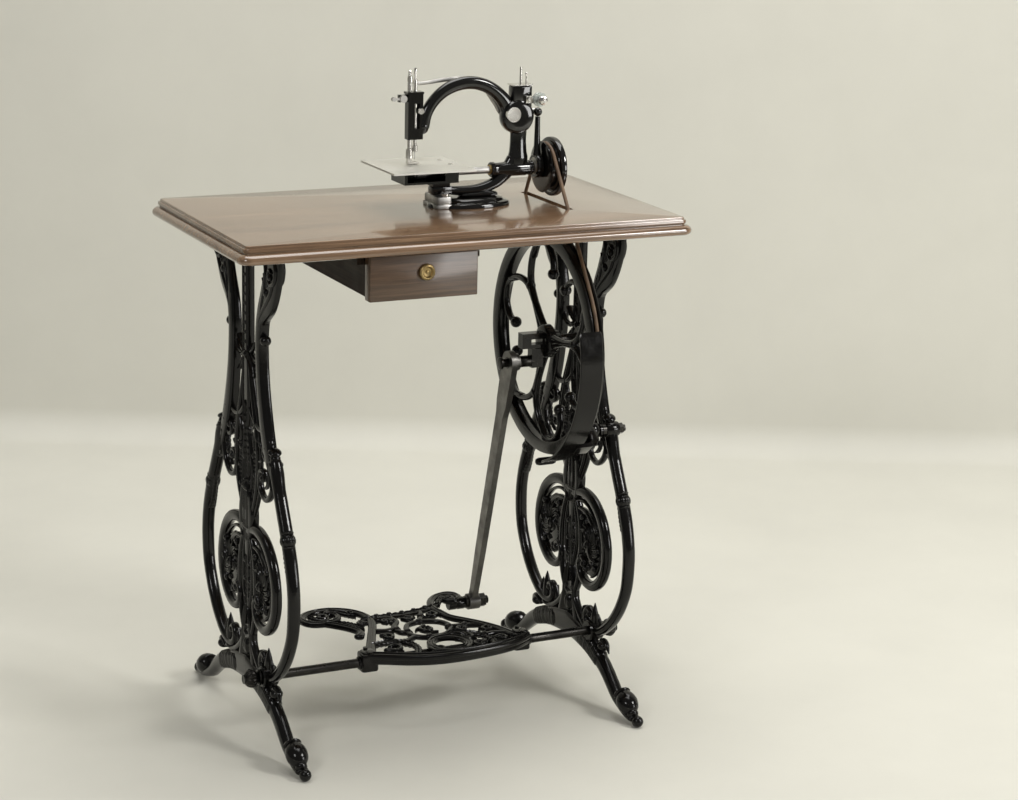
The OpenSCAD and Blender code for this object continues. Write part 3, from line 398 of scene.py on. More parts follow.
class Cast:
    """Shells drawn in a plane (u, v) with depth d, placed in the row frame by place(u, v, d)."""

    def __init__(self, place):
        self.place = place
        # -1 draws the mirror image, u for -u
        self.side = 1
        self.verts = []
        self.faces = []

    def loft(self, rings, cap0=True, cap1=True):
        """Skin over closed rings of points (u, v, d), with a face over each end."""
        base = len(self.verts)
        n = len(rings[0])
        for ring in rings:
            self.verts += [self.place(self.side * u, v, d) for u, v, d in ring]
        for i in range(len(rings) - 1):
            for k in range(n):
                a, b = base + i * n + k, base + i * n + (k + 1) % n
                self.faces.append((a, b, b + n, a + n))
        if cap0:
            self.faces.append(tuple(base + k for k in reversed(range(n))))
        if cap1:
            e = base + (len(rings) - 1) * n
            self.faces.append(tuple(e + k for k in range(n)))

    def stroke(self, pts, sec=OVAL, depth=10.0, n=5, d0=0.0, ends="rr", rib=None):
        """Bar through pts, (u, v, width) or (u, v, width, depth), in a section sec about depth d0.

        ends has r for round or f for flat, start then end. rib is (amount, pitch) of gadroons.
        """
        line = smooth_curve([list(p) + ([depth] if len(p) == 3 else []) for p in pts], n)
        if rib:
            amount, pitch = rib
            finer = [line[0]]
            for p, q in zip(line, line[1:]):
                m = max(1, int(hypot(q[0] - p[0], q[1] - p[1]) / (pitch / 4)))
                finer += [[a + (b - a) * k / m for a, b in zip(p, q)] for k in range(1, m + 1)]
            line = finer
        tangents = []
        for i in range(len(line)):
            a, b = line[max(i - 1, 0)], line[min(i + 1, len(line) - 1)]
            span = hypot(b[0] - a[0], b[1] - a[1]) or 1e-6
            tangents.append(((b[0] - a[0]) / span, (b[1] - a[1]) / span))

        def ring(p, t, k=1.0, along=0.0):
            half_w, half_d = max(p[2], 0.2) / 2 * k, max(p[3], 0.2) / 2 * k
            u0, v0 = p[0] + t[0] * along, p[1] + t[1] * along
            return [(u0 - t[1] * a * half_w, v0 + t[0] * a * half_w, d0 + b * half_d) for a, b in sec]

        def dome(i, k, way):
            reach = min(line[i][2], line[i][3]) / 2 * sqrt(1 - k * k)
            return ring(line[i], tangents[i], k, way * reach)

        dome_steps = (0.25, 0.62, 0.88)
        rings = []
        if ends[0] == "r":
            rings += [dome(0, k, -1) for k in dome_steps]
        travelled = 0.0
        for i, (p, t) in enumerate(zip(line, tangents)):
            if i:
                travelled += hypot(p[0] - line[i - 1][0], p[1] - line[i - 1][1])
            rings.append(ring(p, t, 1 + amount * (abs(sin(pi * travelled / pitch)) - 0.6) if rib else 1.0))
        if ends[1] == "r":
            rings += [dome(-1, k, 1) for k in reversed(dome_steps)]
        self.loft(rings)

    def ball(self, u, v, r, rv=None, rd=None, d=0.0, rot=0.0, lobes=0, amp=0.12, seg=18, rows=10):
        """Ellipsoid of radii r, rv, rd, gadrooned with lobes about its v axis, turned by rot degrees."""
        rv, rd = rv or r, rd or r
        ca, sa = cos(radians(rot)), sin(radians(rot))
        seg = max(seg, lobes * 4)
        # the poles are cut off by this part of a row
        cut = 0.12
        rings = []
        for i in range(rows + 1):
            th = pi * min(max(i, cut), rows - cut) / rows
            ring = []
            for k in range(seg):
                ph = 2 * pi * k / seg
                g = 1 + (amp * (abs(cos(lobes * ph / 2)) - 0.6) * sin(th) if lobes else 0)
                a, b, e = r * sin(th) * cos(ph) * g, -rv * cos(th), rd * sin(th) * sin(ph) * g
                ring.append((u + a * ca - b * sa, v + a * sa + b * ca, d + e))
            rings.append(ring)
        self.loft(rings)

    def balls(self, places, *size, **more):
        for u, v in places:
            self.ball(u, v, *size, **more)

    def turned(self, u, v, profile, axis="d", seg=24):
        """Turned piece: profile [(along, radius), ...] about the depth axis (or u, v) through (u, v)."""
        rings = []
        for s, r in profile:
            ring = []
            for k in range(seg):
                t = 2 * pi * k / seg
                a, b = r * cos(t), r * sin(t)
                ring.append({"d": (u + a, v + b, s), "u": (u + s, v + a, b), "v": (u + b, v + s, a)}[axis])
            rings.append(ring)
        self.loft(rings)

    def hoop(self, u, v, profile, a0=0.0, a1=360.0, seg=64):
        """Closed section [(depth, radius), ...] swept about the depth axis through (u, v) from a0 to a1."""
        full = a1 - a0 > 359.9
        rings = []
        for k in range(seg + 1):
            t = radians(a0 + (a1 - a0) * k / seg)
            rings.append([(u + r * cos(t), v + r * sin(t), d) for d, r in profile])
        self.loft(rings, not full, not full)

    def slab(self, poly, d0, d1, bev=0.8):
        """Flat shape poly [(u, v), ...] from depth d0 to d1 with rounded arrises."""
        n = len(poly)
        area2 = sum(poly[i - 1][0] * poly[i][1] - poly[i][0] * poly[i - 1][1] for i in range(n))
        turn = 1 if area2 > 0 else -1

        def inward(p, q):
            span = hypot(q[0] - p[0], q[1] - p[1]) or 1e-6
            return -(q[1] - p[1]) / span * turn, (q[0] - p[0]) / span * turn

        def inset(k):
            out = []
            for i in range(n):
                q = poly[i]
                a, b = inward(poly[i - 1], q), inward(q, poly[(i + 1) % n])
                den = max(1 + a[0] * b[0] + a[1] * b[1], 0.3)
                out.append((q[0] + (a[0] + b[0]) / den * k, q[1] + (a[1] + b[1]) / den * k))
            return out
        steps = ((1, d0), (0.3, d0 + 0.3 * bev), (0, d0 + bev), (0, d1 - bev), (0.3, d1 - 0.3 * bev), (1, d1))
        self.loft([[(x, y, d) for x, y in inset(k * bev)] for k, d in steps])

    def build(self, name, body, mat, *nodes, sharp=35):
        """Makes the object in slot mat on a body, in place of the CAD nodes."""
        me = bpy.data.meshes.new(name)
        me.from_pydata([tuple(x / MM for x in p) for p in self.verts], [], self.faces)
        bm = bmesh.new()
        bm.from_mesh(me)
        bmesh.ops.remove_doubles(bm, verts=bm.verts, dist=1e-7)
        bmesh.ops.recalc_face_normals(bm, faces=bm.faces)
        bm.to_mesh(me)
        bm.free()
        me.validate()
        for p in me.polygons:
            p.use_smooth = True
        me.set_sharp_from_angle(angle=radians(sharp))
        me.materials.append(M[mat])
        ob = bpy.data.objects.new(name, me)
        bpy.context.scene.collection.objects.link(ob)
        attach(ob, body)
        if nodes:
            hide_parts(*nodes)


def plane_x(x0):
    """The plane at X = x0: u is Y, v is Z."""
    return lambda u, v, d: (x0 + d, u, v)


def plane_y(y0):
    """The plane at Y = y0: u is X, v is Z."""
    return lambda u, v, d: (u, y0 + d, v)


def plane_z(z0):
    """The plane at Z = z0: u is X, v is Y."""
    return lambda u, v, d: (u, v, z0 + d)


def polar(r, a, o=(0, 0)):
    """Point at radius r and angle a in degrees about o."""
    return (o[0] + r * cos(radians(a)), o[1] + r * sin(radians(a)))


def rrect(u0, v0, u1, v1, r, n=4):
    """Rounded rectangle."""
    corners = ((u1 - r, v0 + r, -90), (u1 - r, v1 - r, 0), (u0 + r, v1 - r, 90), (u0 + r, v0 + r, 180))
    return [polar(r, a + 90 * k / n, (cx, cy)) for cx, cy, a in corners for k in range(n + 1)]


# ---------------- iron ends (u is Y, v is Z)


def bracket_relief(c, d):
    """Scrolls and leaves on the bracket, and the leaf on the lower stile."""
    c.stroke([(74, 690, 4), (92, 688, 6), (112, 686, 6), (120, 672, 6), (114, 655, 6), (100, 650, 6),
              (93, 660, 6), (98, 670, 5), (105, 667, 4)], ROUND, 6, 4, d)
    c.stroke([(58, 590, 3), (68, 606, 6), (84, 622, 7), (100, 638, 7), (110, 655, 5)], ROUND, 5.5, 4, d)
    c.stroke([(66, 604, 3), (70, 624, 5), (78, 644, 6), (82, 664, 5), (78, 680, 4)], ROUND, 5, 4, d)
    for a, length in ((62, 18), (84, 22), (106, 22), (128, 18)):
        p = polar(6, a, (84, 640))
        q = polar(length, a, (84, 640))
        c.stroke([(*p, 3), ((p[0] + q[0]) / 2, (p[1] + q[1]) / 2, 6), (*q, 2)], LEAF, 5, 3, d)
    c.ball(84, 636, 6, 6, 4, d * 1.05)
    c.ball(100, 660, 5, 5, 4, d * 1.05)
    # lower stile: leaf that dies into the ring
    c.stroke([(60, 500, 2), (66, 468, 7), (78, 432, 8), (92, 402, 7), (106, 372, 2)], LEAF, 5, 4, d)
    c.balls(((74, 446), (82, 424), (92, 404)), 3.0, 3.4, 2.4, d * 1.15)


def bracket_and_stile(c):
    """Bracket under the table, running down into the stile, and the ball on the stile."""
    c.stroke([(98, 695, 57, 11), (101, 678, 55, 11), (93, 651, 51, 11.5), (81, 628, 46, 12),
              (69, 612, 35, 13), (61, 600, 25, 14.5), (56, 587, 18.5, 16), (53, 560, 17, 16.5),
              (56, 520, 17, 16.5), (62, 486, 19, 16.5), (72, 450, 21, 16.5), (84, 420, 20, 16),
              (98, 394, 15, 14), (112, 366, 7, 9)], PLATE, 16, 6, ends="fr")
    for face in (1, -1):
        bracket_relief(c, face * 5.4)
    c.ball(67, 567, 7.4, 7.4, 7.8)


def big_ring(c):
    """Polished round bar with turned collars at its top and a turned cuff halfway down."""
    ring = [(108, 405, 14), (117, 380, 14.5), (132, 350, 15), (149, 318, 15), (164, 284, 15),
            (173, 250, 14.5), (174, 220, 14.5), (170, 190, 14), (158, 163, 14), (142, 140, 14),
            (122, 120, 14), (98, 104, 13.5), (74, 98, 12.5), (58, 104, 11), (53, 116, 10), (60, 126, 9),
            (69, 122, 8)]
    c.stroke([(u, v, w, w + 2.6) for u, v, w in ring], OVAL, 17, 6)
    c.ball(66, 119, 6, 6, 7)
    c.ball(101.5, 423, 9.4, 4.6, 9.4, rot=-20)
    c.ball(103.5, 415.5, 7.4, 6, 7.4, rot=-20)
    c.ball(106, 408, 10.2, 4, 10.2, rot=-20)
    c.stroke([(106, 409, 17, 17), (111, 396, 19, 19), (117, 380, 18, 18), (124, 364, 16, 17)], ROUND, 17, 4)
    # cuff
    c.ball(155, 306, 9.2, 3, 9.2, rot=24)
    c.ball(151, 314.5, 10.6, 11.5, 10.6, rot=24, lobes=11, amp=0.1)
    c.ball(147, 324, 9.6, 3.4, 9.6, rot=24)
    c.stroke([(139, 334, 3), (140, 320, 7), (146, 304, 7), (151, 288, 5), (158, 272, 2)], LEAF, 12, 4,
             rib=(0.2, 6))


def heart_scrolls(c):
    """Scrolls above the neck."""
    c.stroke([(7, 466, 5), (26, 448, 7), (48, 441, 8), (70, 444, 8), (86, 433, 8), (88, 416, 8), (76, 405, 8),
              (64, 411, 7), (66, 422, 6), (73, 421, 5)], OVAL, 9, 5)
    c.ball(71, 418, 5.5, 5.5, 6.5)
    c.stroke([(98, 402, 6), (99, 384, 8), (91, 362, 8), (74, 349, 8), (56, 352, 8), (46, 366, 8),
              (50, 383, 7), (62, 385, 6), (65, 376, 5)], OVAL, 9, 5)
    c.ball(61, 376, 5.5, 5.5, 6.5)
    c.stroke([(10, 524, 4), (22, 478, 6), (35, 438, 6.5), (42, 396, 6.5), (36, 352, 6.5), (21, 318, 6.5),
              (8, 296, 7)], OVAL, 10, 5)
    c.stroke([(14, 514, 3), (30, 474, 4), (44, 438, 4), (51, 398, 4), (45, 352, 4), (28, 318, 4),
              (12, 294, 4)], ROUND, 6, 5)
    c.stroke([(3, 432, 4), (13, 404, 5), (18, 374, 5), (14, 340, 5), (5, 310, 5)], ROUND, 8, 5)
    c.stroke([(40, 398, 5), (48, 396, 6), (56, 400, 5)], ROUND, 7, 3)
    c.stroke([(34, 440, 4), (26, 424, 6), (28, 408, 6), (37, 404, 5)], ROUND, 7, 4)
    berries = ((25, 398), (30, 372), (27, 346), (52, 420), (78, 378), (40, 424), (10, 388), (8, 356))
    c.balls(berries, 4.0, 5.2, 4.8, rot=20, lobes=5)
    c.stroke([(30, 420, 2), (28, 396, 8), (30, 372, 9), (24, 346, 7), (14, 322, 2)], LEAF, 8, 4, rib=(0.3, 6))
    c.stroke([(84, 400, 2), (82, 386, 8), (76, 370, 8), (64, 362, 2)], LEAF, 7, 4, rib=(0.3, 6))


def medallion(c):
    """Outer C with a volute, inner C and lyre, over a thin plate."""
    c.stroke([(6, 286, 12), (34, 294, 15), (66, 287, 16.5), (92, 266, 17), (106, 236, 17), (107, 206, 17),
              (95, 180, 16.5), (72, 163, 15.5), (48, 162, 13), (33, 172, 12), (29, 187, 10.5), (37, 198, 9.5),
              (47, 194, 8)], OVAL, 14, 6)
    c.ball(44, 189, 7, 7, 8.5)
    c.stroke([(10, 276, 5), (34, 281, 5), (60, 274, 5), (82, 256, 5), (94, 232, 5), (94, 208, 5),
              (84, 188, 5), (68, 176, 4)], ROUND, 9, 6)
    c.stroke([(22, 268, 5), (46, 266, 7), (68, 250, 8), (77, 228, 8), (68, 211, 7), (56, 214, 7),
              (55, 227, 6), (63, 230, 5)], OVAL, 9, 5)
    c.ball(61, 223, 5, 5, 6.5)
    c.stroke([(7, 290, 7), (23, 262, 8.5), (31, 228, 9), (31, 192, 9), (25, 158, 8.5), (13, 137, 8),
              (-3, 130, 8)], OVAL, 11, 6)
    c.stroke([(4, 284, 5), (14, 256, 6), (18, 226, 6.5), (14, 196, 6), (3, 168, 5)], ROUND, 9, 5)
    berries = ((42, 246), (46, 232), (40, 216), (70, 196), (82, 214), (58, 188), (86, 240), (50, 256),
               (9, 240), (9, 214), (8, 190))
    c.balls(berries, 4.4, 5.6, 5.4, rot=30, lobes=5)
    c.stroke([(36, 262, 2), (44, 244, 9), (44, 224, 11), (40, 206, 8), (50, 192, 2)], LEAF, 8, 4,
             rib=(0.32, 6))
    c.stroke([(62, 196, 2), (74, 200, 8), (84, 214, 9), (86, 232, 6), (80, 246, 2)], LEAF, 8, 4,
             rib=(0.32, 6))
    c.slab([(34, 268), (56, 268), (76, 256), (92, 236), (95, 212), (86, 190), (70, 176), (54, 176), (40, 184),
            (27, 196), (27, 240)], -2.2, 2.2, 0.8)


def medallion_leaves(c, d):
    """Nine curled leaves round the eye, and berries between them."""
    eye = (60, 222)
    for k in range(9):
        a = -70 + 23 * k
        c.stroke([(*polar(9, a, eye), 3), (*polar(21, a + 14, eye), 8), (*polar(31, a + 34, eye), 2)], LEAF,
                 7, 4, d)
    c.ball(*eye, 8, 8, 7, d, lobes=8, amp=0.2)
    c.balls(((38, 258), (34, 198), (84, 250), (90, 222), (80, 192), (52, 184)), 4.6, 4.6, 4.2, d, lobes=5)


def foot_buds(c):
    """Foot of the medallion, with its buds and loops."""
    c.stroke([(8, 142, 7), (20, 122, 9), (36, 106, 10), (54, 94, 12), (70, 88, 12)], OVAL, 11, 5)
    c.stroke([(40, 88, 3), (44, 102, 12), (46, 114, 12), (48, 126, 2)], LEAF, 10, 4)
    c.stroke([(75, 92, 8, 10), (77, 104, 13, 13), (78, 118, 12, 12), (78, 130, 7, 7), (78, 139, 1.5, 1.5)],
             ROUND, 12, 5)
    c.stroke([(80, 96, 6, 7), (90, 104, 8, 9), (93, 116, 6, 7), (90, 126, 1.5, 1.5)], ROUND, 9, 4)
    c.ball(76, 93, 9, 6, 8.4)
    c.ball(108, 84, 8.6, 7, 9)
    c.stroke([(96, 84, 6, 8), (106, 91, 9, 11), (117, 88, 8, 9), (125, 78, 2, 2)], ROUND, 11, 4)


def leg(c):
    """Leg, gadrooned near the middle, with a bulb and a toe."""
    c.stroke([(-4, 86, 36), (28, 82, 33), (56, 77, 30)], PLATE, 17, 6, ends="fr")
    c.stroke([(38, 80, 31), (70, 73, 28.5), (100, 62, 26)], OVAL, 21, 6, rib=(0.09, 4.2))
    c.stroke([(84, 68, 25), (104, 60, 24), (122, 50, 22.5), (140, 37, 21), (155, 26, 19), (172, 18, 16),
              (190, 12, 13), (206, 9, 9)], OVAL, 18.5, 7)
    c.ball(185, 25, 15, 20.5, 15.4, rot=60)
    c.ball(168.5, 33, 12.4, 4.4, 13, rot=62)
    c.ball(202, 14, 8.6, 7, 8.6, rot=62)
    c.ball(217.6, 8.4, 8.3)


def middle_rib(c):
    """Two rails and a bar from the table down to the heart, with beads and small leaves."""
    for s in (-1, 1):
        c.stroke([(s * 7.6, 695, 4.4), (s * 7.6, 640, 4.4), (s * 7.6, 590, 4.4), (s * 7.8, 545, 4.6)], ROUND,
                 12.5, 3, ends="ff")
        c.stroke([(s * 8, 548, 5), (s * 10.5, 500, 6), (s * 10, 465, 6), (s * 6, 436, 4)], ROUND, 12, 4)
    c.stroke([(0, 695, 15), (0, 600, 15), (0, 540, 16), (0, 500, 20), (0, 460, 18), (0, 430, 9)], SLAB, 9, 4,
             ends="fr")
    for k in range(11):
        w, h = (3.0, 4.2) if k % 3 else (4.0, 4.0)
        c.ball(0, 684 - 13.2 * k, w, h, 6.6)
    c.stroke([(0, 300, 24), (0, 270, 14), (0, 240, 10), (0, 205, 9), (0, 170, 16)], PLATE, 9, 5)
    for k in range(7):
        z = 522 - 12.5 * k
        for s in (-1, 1):
            c.stroke([(0, z, 3), (s * 4, z + 3, 4.5), (s * 8, z + 9, 2)], LEAF, 9, 3)


def crossed_band(c):
    """Leaf band tied across the rib."""
    for s in (-1, 1):
        c.side = s
        c.stroke([(-30, 556, 3), (-20, 546, 7), (0, 535, 9), (18, 522, 8), (28, 508, 3)], LEAF, 13, 4,
                 rib=(0.12, 6))
        c.stroke([(10, 540, 3), (26, 530, 8), (40, 534, 6), (47, 546, 3)], LEAF, 9, 4)
    c.side = 1
    c.ball(0, 535, 6.5, 6.5, 8.5, lobes=6)


def neck_and_stem(c):
    """Hanging leaf, neck, and the stem down to the feet."""
    c.stroke([(0, 470, 3), (0, 440, 15), (0, 404, 19), (0, 362, 12), (0, 330, 6)], LEAF, 14, 5, rib=(0.25, 9))
    c.stroke([(0, 350, 26), (0, 338, 42), (0, 326, 46), (0, 312, 52), (0, 298, 50), (0, 284, 44),
              (0, 276, 30)], FLUTE, 15, 5)
    c.ball(0, 346, 24, 4, 8.5)
    c.ball(0, 292, 27, 4.5, 8.8)
    c.stroke([(0, 250, 3), (0, 228, 12), (0, 196, 14), (0, 168, 6), (0, 150, 3)], LEAF, 12, 5, rib=(0.25, 8))
    c.stroke([(0, 172, 18), (0, 150, 36), (0, 128, 40), (0, 108, 56), (0, 88, 64), (0, 74, 40)], HOLLOW, 13,
             5)
    c.ball(0, 118, 11, 14, 9, lobes=9)


def iron_end(name, x0, node):
    c = Cast(plane_x(x0))
    for side in (1, -1):
        c.side = side
        bracket_and_stile(c)
        big_ring(c)
        heart_scrolls(c)
        medallion(c)
        for face in (1, -1):
            medallion_leaves(c, face * 4.2)
        foot_buds(c)
        leg(c)
    c.side = 1
    middle_rib(c)
    crossed_band(c)
    neck_and_stem(c)
    # bosses for the stretcher rod, the flywheel's stud and the dress guard
    c.turned(*ROD, [(-11, 8), (-11, 13.5), (-9, 15), (9, 15), (11, 13.5), (11, 8)])
    if x0 > 0:
        c.turned(*HUB, [(-11, 10), (-11, 15.5), (-9.4, 17), (9.4, 17), (11, 15.5), (11, 10)])
        c.turned(*GUARD_BOLT, [(-10, 6), (-10, 10), (-8.5, 11), (8.5, 11), (10, 10), (10, 6)])
    c.build(name, "stand", "iron", node)


iron_end("iron_end_left", -END_X, "side_frame_left")
iron_end("iron_end_right", END_X, "side_frame_right")

# ---------------- flywheel, crank side, belt

c = Cast(plane_x(WHEEL_X))
# the rim's section, with the belt's groove in its edge
rim = [(-10, 147), (-9.3, 143.4), (-7.3, 142.4), (7.3, 142.4), (9.3, 143.4), (10, 147), (10, 156.5),
       (9.2, 160.4), (7, 161.5), (5.2, 161.2), (3.4, 157.6), (-3.4, 157.6), (-5.2, 161.2), (-7, 161.5),
       (-9.2, 160.4), (-10, 156.5)]
c.hoop(*HUB, rim, seg=112)
# three spokes of two curled arms each: (radius, angle off the spoke, width)
arm = [(18, 78, 13), (36, 64, 11), (62, 60, 10), (88, 58, 9.6), (108, 52, 9.4), (128, 43, 9.4),
       (141, 33, 9.4), (138, 23, 9), (124, 15, 8.4), (107, 12, 7.4)]
root = [(122, 44, 6), (134, 39, 10), (147, 36, 15)]
for spoke in (-9, 111, 231):
    for s in (-1, 1):
        c.stroke([(*polar(r, spoke + s * a, HUB), w) for r, a, w in arm], ROUND, 10.5, 5)
        c.stroke([(*polar(r, spoke + s * a, HUB), w) for r, a, w in root], ROUND, 11, 4, ends="rf")
        c.ball(*polar(101, spoke + s * 12, HUB), 8.2, 8.2, 8.4)
for gap in (51, 171, 291):
    c.ball(*polar(88, gap, HUB), 7.6, 7.6, 7.2)
c.turned(*HUB, [(-8, 9), (-8, 20), (-6.8, 22.4), (-4.6, 24), (4.6, 24), (6, 22.6), (6.6, 19), (9, 16.5),
                (13.5, 15.5), (16, 14.5), (17, 12.5), (17, 9)], seg=40)
c.build("flywheel_cast", "wheel", "iron", "flywheel")

c = Cast(plane_x(0))
c.turned(HUB[0], HUB[1] - CRANK_R, [(115, 3), (115, 7.4), (116, 9), (118.4, 9), (119.4, 8), (119.6, 6),
                                    (145, 6), (145.4, 7.4), (147, 8.2), (161, 8.2), (162.8, 7.4), (180.8, 6),
                                    (180.8, 3)], seg=32)
c.build("crank_pin_turned", "wheel", "dark_steel", "crank_pin")

# dress guard: a band round the wheel's front, square at the top and rounded at its lower end
BAND_X, BAND_HALF_W = 174, 17
BAND_START, BAND_END, BAND_ROUND = 163, 258, 246


def band_half_width(a):
    if a > BAND_ROUND:
        return BAND_HALF_W * sqrt(max(1 - ((a - BAND_ROUND) / 12.2) ** 2, 0.02))
    return BAND_HALF_W * min(1, 0.86 + (a - BAND_START) / 8)


c = Cast(plane_x(0))
band = [(-1, 168.4), (-0.93, 167.6), (0.93, 167.6), (1, 168.4), (1, 170), (0.93, 170.9), (-0.93, 170.9),
        (-1, 170)]
rings = []
for k in range(61):
    a = BAND_START + (BAND_END - BAND_START) * k / 60
    rings.append([(*polar(r, a, HUB), BAND_X + q * band_half_width(a)) for q, r in band])
c.loft(rings)
strap = [(182, 169), (183, 167.7), (203, 167.7), (206, 169), (206, 172.6), (203, 174), (183, 174),
         (182, 172.6)]
c.hoop(*HUB, strap, 226, 233, 8)
# rolled lip at the lower end
c.turned(*polar(169.5, 257, HUB), [(157.5, 1.5), (159, 4.2), (163, 5.6), (184, 5.6), (188, 4.2),
                                   (189.5, 1.5)])
# tab, ball and neck out to the iron end
c.slab([(-136, 404), (-124, 386), (-112, 390), (-99, 396), (-96, 408), (-100, 419), (-112, 421), (-124, 416)],
       204.5, 217.5, 3.4)
c.ball(-108, 409, 13.6, 13.6, 13.6, 218.6)
c.turned(*GUARD_BOLT, [(229, 8), (230, 9.6), (233, 9.4), (234, 8), (236, 7), (240, 7)], seg=28)
c.build("dress_guard_cast", "stand", "iron", "dress_guard")

# round belt: its middle runs on these radii of the pulley and the flywheel, with straight strands between
BELT_R = 2.55
PULLEY_RUN, WHEEL_RUN = 33.0, 160.55
centres = hypot(HUB[0], HUB[1] - SHAFT_Z)
lean = degrees(asin((WHEEL_RUN - PULLEY_RUN) / centres))
toward = degrees(atan2(HUB[1] - SHAFT_Z, HUB[0]))
path = [polar(PULLEY_RUN, toward + 90 + lean + (180 - 2 * lean) * k / 20, (0, SHAFT_Z)) for k in range(21)]
path += [polar(WHEEL_RUN, toward - 90 - lean + (180 + 2 * lean) * k / 64, HUB) for k in range(65)]
c = Cast(plane_x(WHEEL_X))
tube = [(x * BELT_R, y * BELT_R) for x, y in superellipse(12, 2.0)]
rings = []
for k, p in enumerate(path):
    a, b = path[k - 1], path[(k + 1) % len(path)]
    span = hypot(b[0] - a[0], b[1] - a[1])
    t = ((b[0] - a[0]) / span, (b[1] - a[1]) / span)
    rings.append([(p[0] - t[1] * x, p[1] + t[0] * x, y) for x, y in tube])
rings.append(rings[0])
c.loft(rings, False, False)
c.build("drive_belt_round", "stand", "leather", "drive_belt")

# ---------------- treadle (u is X, v is Y)

c = Cast(plane_z(108.7))
# front rail: a bar with a deeper lip in front and a fine ridge behind
rail = [(-108, -80, 13), (-82, -92, 15), (-54, -106, 15), (-22, -116, 15), (16, -119, 15), (70, -114, 15),
        (110, -104, 15), (135, -90, 13)]
c.stroke(rail, OVAL, 9.5, 6, ends="ff")
c.stroke([(x, y - 1, 8) for x, y, w in rail], OVAL, 15, 6, -4.5, ends="ff")
c.stroke([(x, y + 1, 3) for x, y, w in rail], ROUND, 3.2, 6, 5, ends="ff")
# side scrolls, each with a ridge along it
webs = [
    [(-98, -72, 17), (-84, -40, 14), (-68, -4, 13), (-54, 28, 13), (-47, 56, 13.5), (-53, 84, 13),
     (-72, 104, 13), (-97, 113, 13), (-123, 108, 13), (-139, 90, 13), (-134, 68, 12), (-113, 61, 11),
     (-93, 69, 10.5), (-86, 86, 9.5), (-97, 99, 7)],
    [(-120, 66, 7), (-100, 46, 11), (-86, 26, 11), (-80, 8, 11), (-88, -6, 15)],
    [(60, 40, 10), (57, 62, 12), (64, 90, 12), (80, 109, 12.5), (98, 115, 12.5), (110, 108, 11.5),
     (111, 94, 11), (102, 84, 10), (90, 86, 9), (86, 98, 6)],
    [(59, 50, 12), (64, 22, 12), (78, 2, 12), (96, -22, 13), (110, -48, 14), (120, -78, 16)]]
for web in webs:
    c.stroke(web, OVAL, 8.6, 6)
    c.stroke([(x, y, 2.6) for x, y, w in web], ROUND, 2.8, 6, 4.0)
# back rail, leafed and beaded
c.stroke([(-56, 56, 11), (-28, 57, 16), (-8, 57, 16), (10, 57, 16), (30, 61, 16), (48, 66, 15), (68, 75, 10)],
         LEAF, 11, 6, rib=(0.24, 9))
c.balls(((-36, 57), (-16, 57), (4, 57), (24, 60), (44, 65)), 5, 5, 5.6, 1.6, lobes=6)
# thin bars of the middle
thin = [[(-18, -14), (-6, 12), (20, 20), (44, 8), (49, -16), (32, -40), (4, -44), (-15, -32), (-18, -12)],
        [(-20, 56), (-15, 32), (-28, 10), (-27, -10), (-14, -18)], [(34, 60), (26, 38), (14, 18)],
        [(46, -14), (72, -18), (94, -24)], [(-38, -52), (-22, -40), (-12, -34)],
        [(-64, 10), (-46, 2), (-32, 4)], [(80, -64), (98, -62), (114, -68)]]
for bar in thin:
    c.stroke([(x, y, 8.6) for x, y in bar], OVAL, 7.6, 5)
# leafed bars that run to the front rail
leafy = [[(-86, -46), (-60, -42), (-38, -52), (-28, -74), (-40, -108)],
         [(34, -40), (58, -46), (78, -64), (84, -88), (78, -110)]]
for bar in leafy:
    c.stroke([(x, y, 10) for x, y in bar], LEAF, 10.5, 6, rib=(0.3, 7))
c.balls(((-17, -14), (46, -16), (15, 19), (4, -44), (-28, 0), (-38, -52), (80, -64), (-20, 34), (26, 38),
         (70, -18)), 6, 6, 5.2, 1.0, lobes=5)
# volutes with small leaves: (x, y, radius, start angle, turning way)
swirls = [(-60, -66, 15, 200, 1), (-52, -24, 11, 120, -1), (-2, -92, 13, 150, 1), (52, -62, 12, 40, -1),
          (96, -44, 10, 80, 1), (62, -30, 10, 250, -1), (60, -96, 11, 20, 1), (98, -86, 10, 150, -1),
          (-30, 36, 10, 300, 1), (42, 40, 11, 60, -1), (6, 38, 9, 180, 1), (14, -14, 13, 90, 1),
          (-66, 40, 8, 0, 1), (-110, 86, 11, 90, -1), (96, 98, 8, 270, 1), (-64, 88, 8, 60, 1)]
for x, y, r, a, way in swirls:
    o = (x, y)
    turn = way * 62
    c.stroke([(*polar(r * (1 - 0.13 * i), a + turn * i, o), 6.4 - 0.5 * i) for i in range(6)], OVAL, 7, 4,
             0.6)
    c.ball(*polar(r * 0.36, a + way * 330, o), 3.8, 3.8, 4.4, 0.8)
    for i in (1, 3):
        at = a + turn * i
        c.stroke([(*polar(r * 0.8, at, o), 2), (*polar(r * 1.05, at, o), 5.5),
                  (*polar(r * 1.45, at + way * 26, o), 1.5)], LEAF, 7.5, 3)
# leaves on the side scrolls
for leaf in ([(-128, 92), (-120, 80), (-108, 72), (-100, 84)], [(-92, 104), (-80, 96), (-72, 84), (-62, 72)],
             [(-96, 54), (-84, 44), (-76, 30), (-72, 14)], [(70, 70), (74, 84), (84, 96), (96, 104)]):
    c.stroke([(x, y, w) for (x, y), w in zip(leaf, (2, 9, 9, 2))], LEAF, 9, 5, 1.2, rib=(0.3, 6))
c.ball(-96, 98, 7, 7, 5.6, 0.4)
c.ball(86, 98, 6.4, 6.4, 5.4, 0.4)
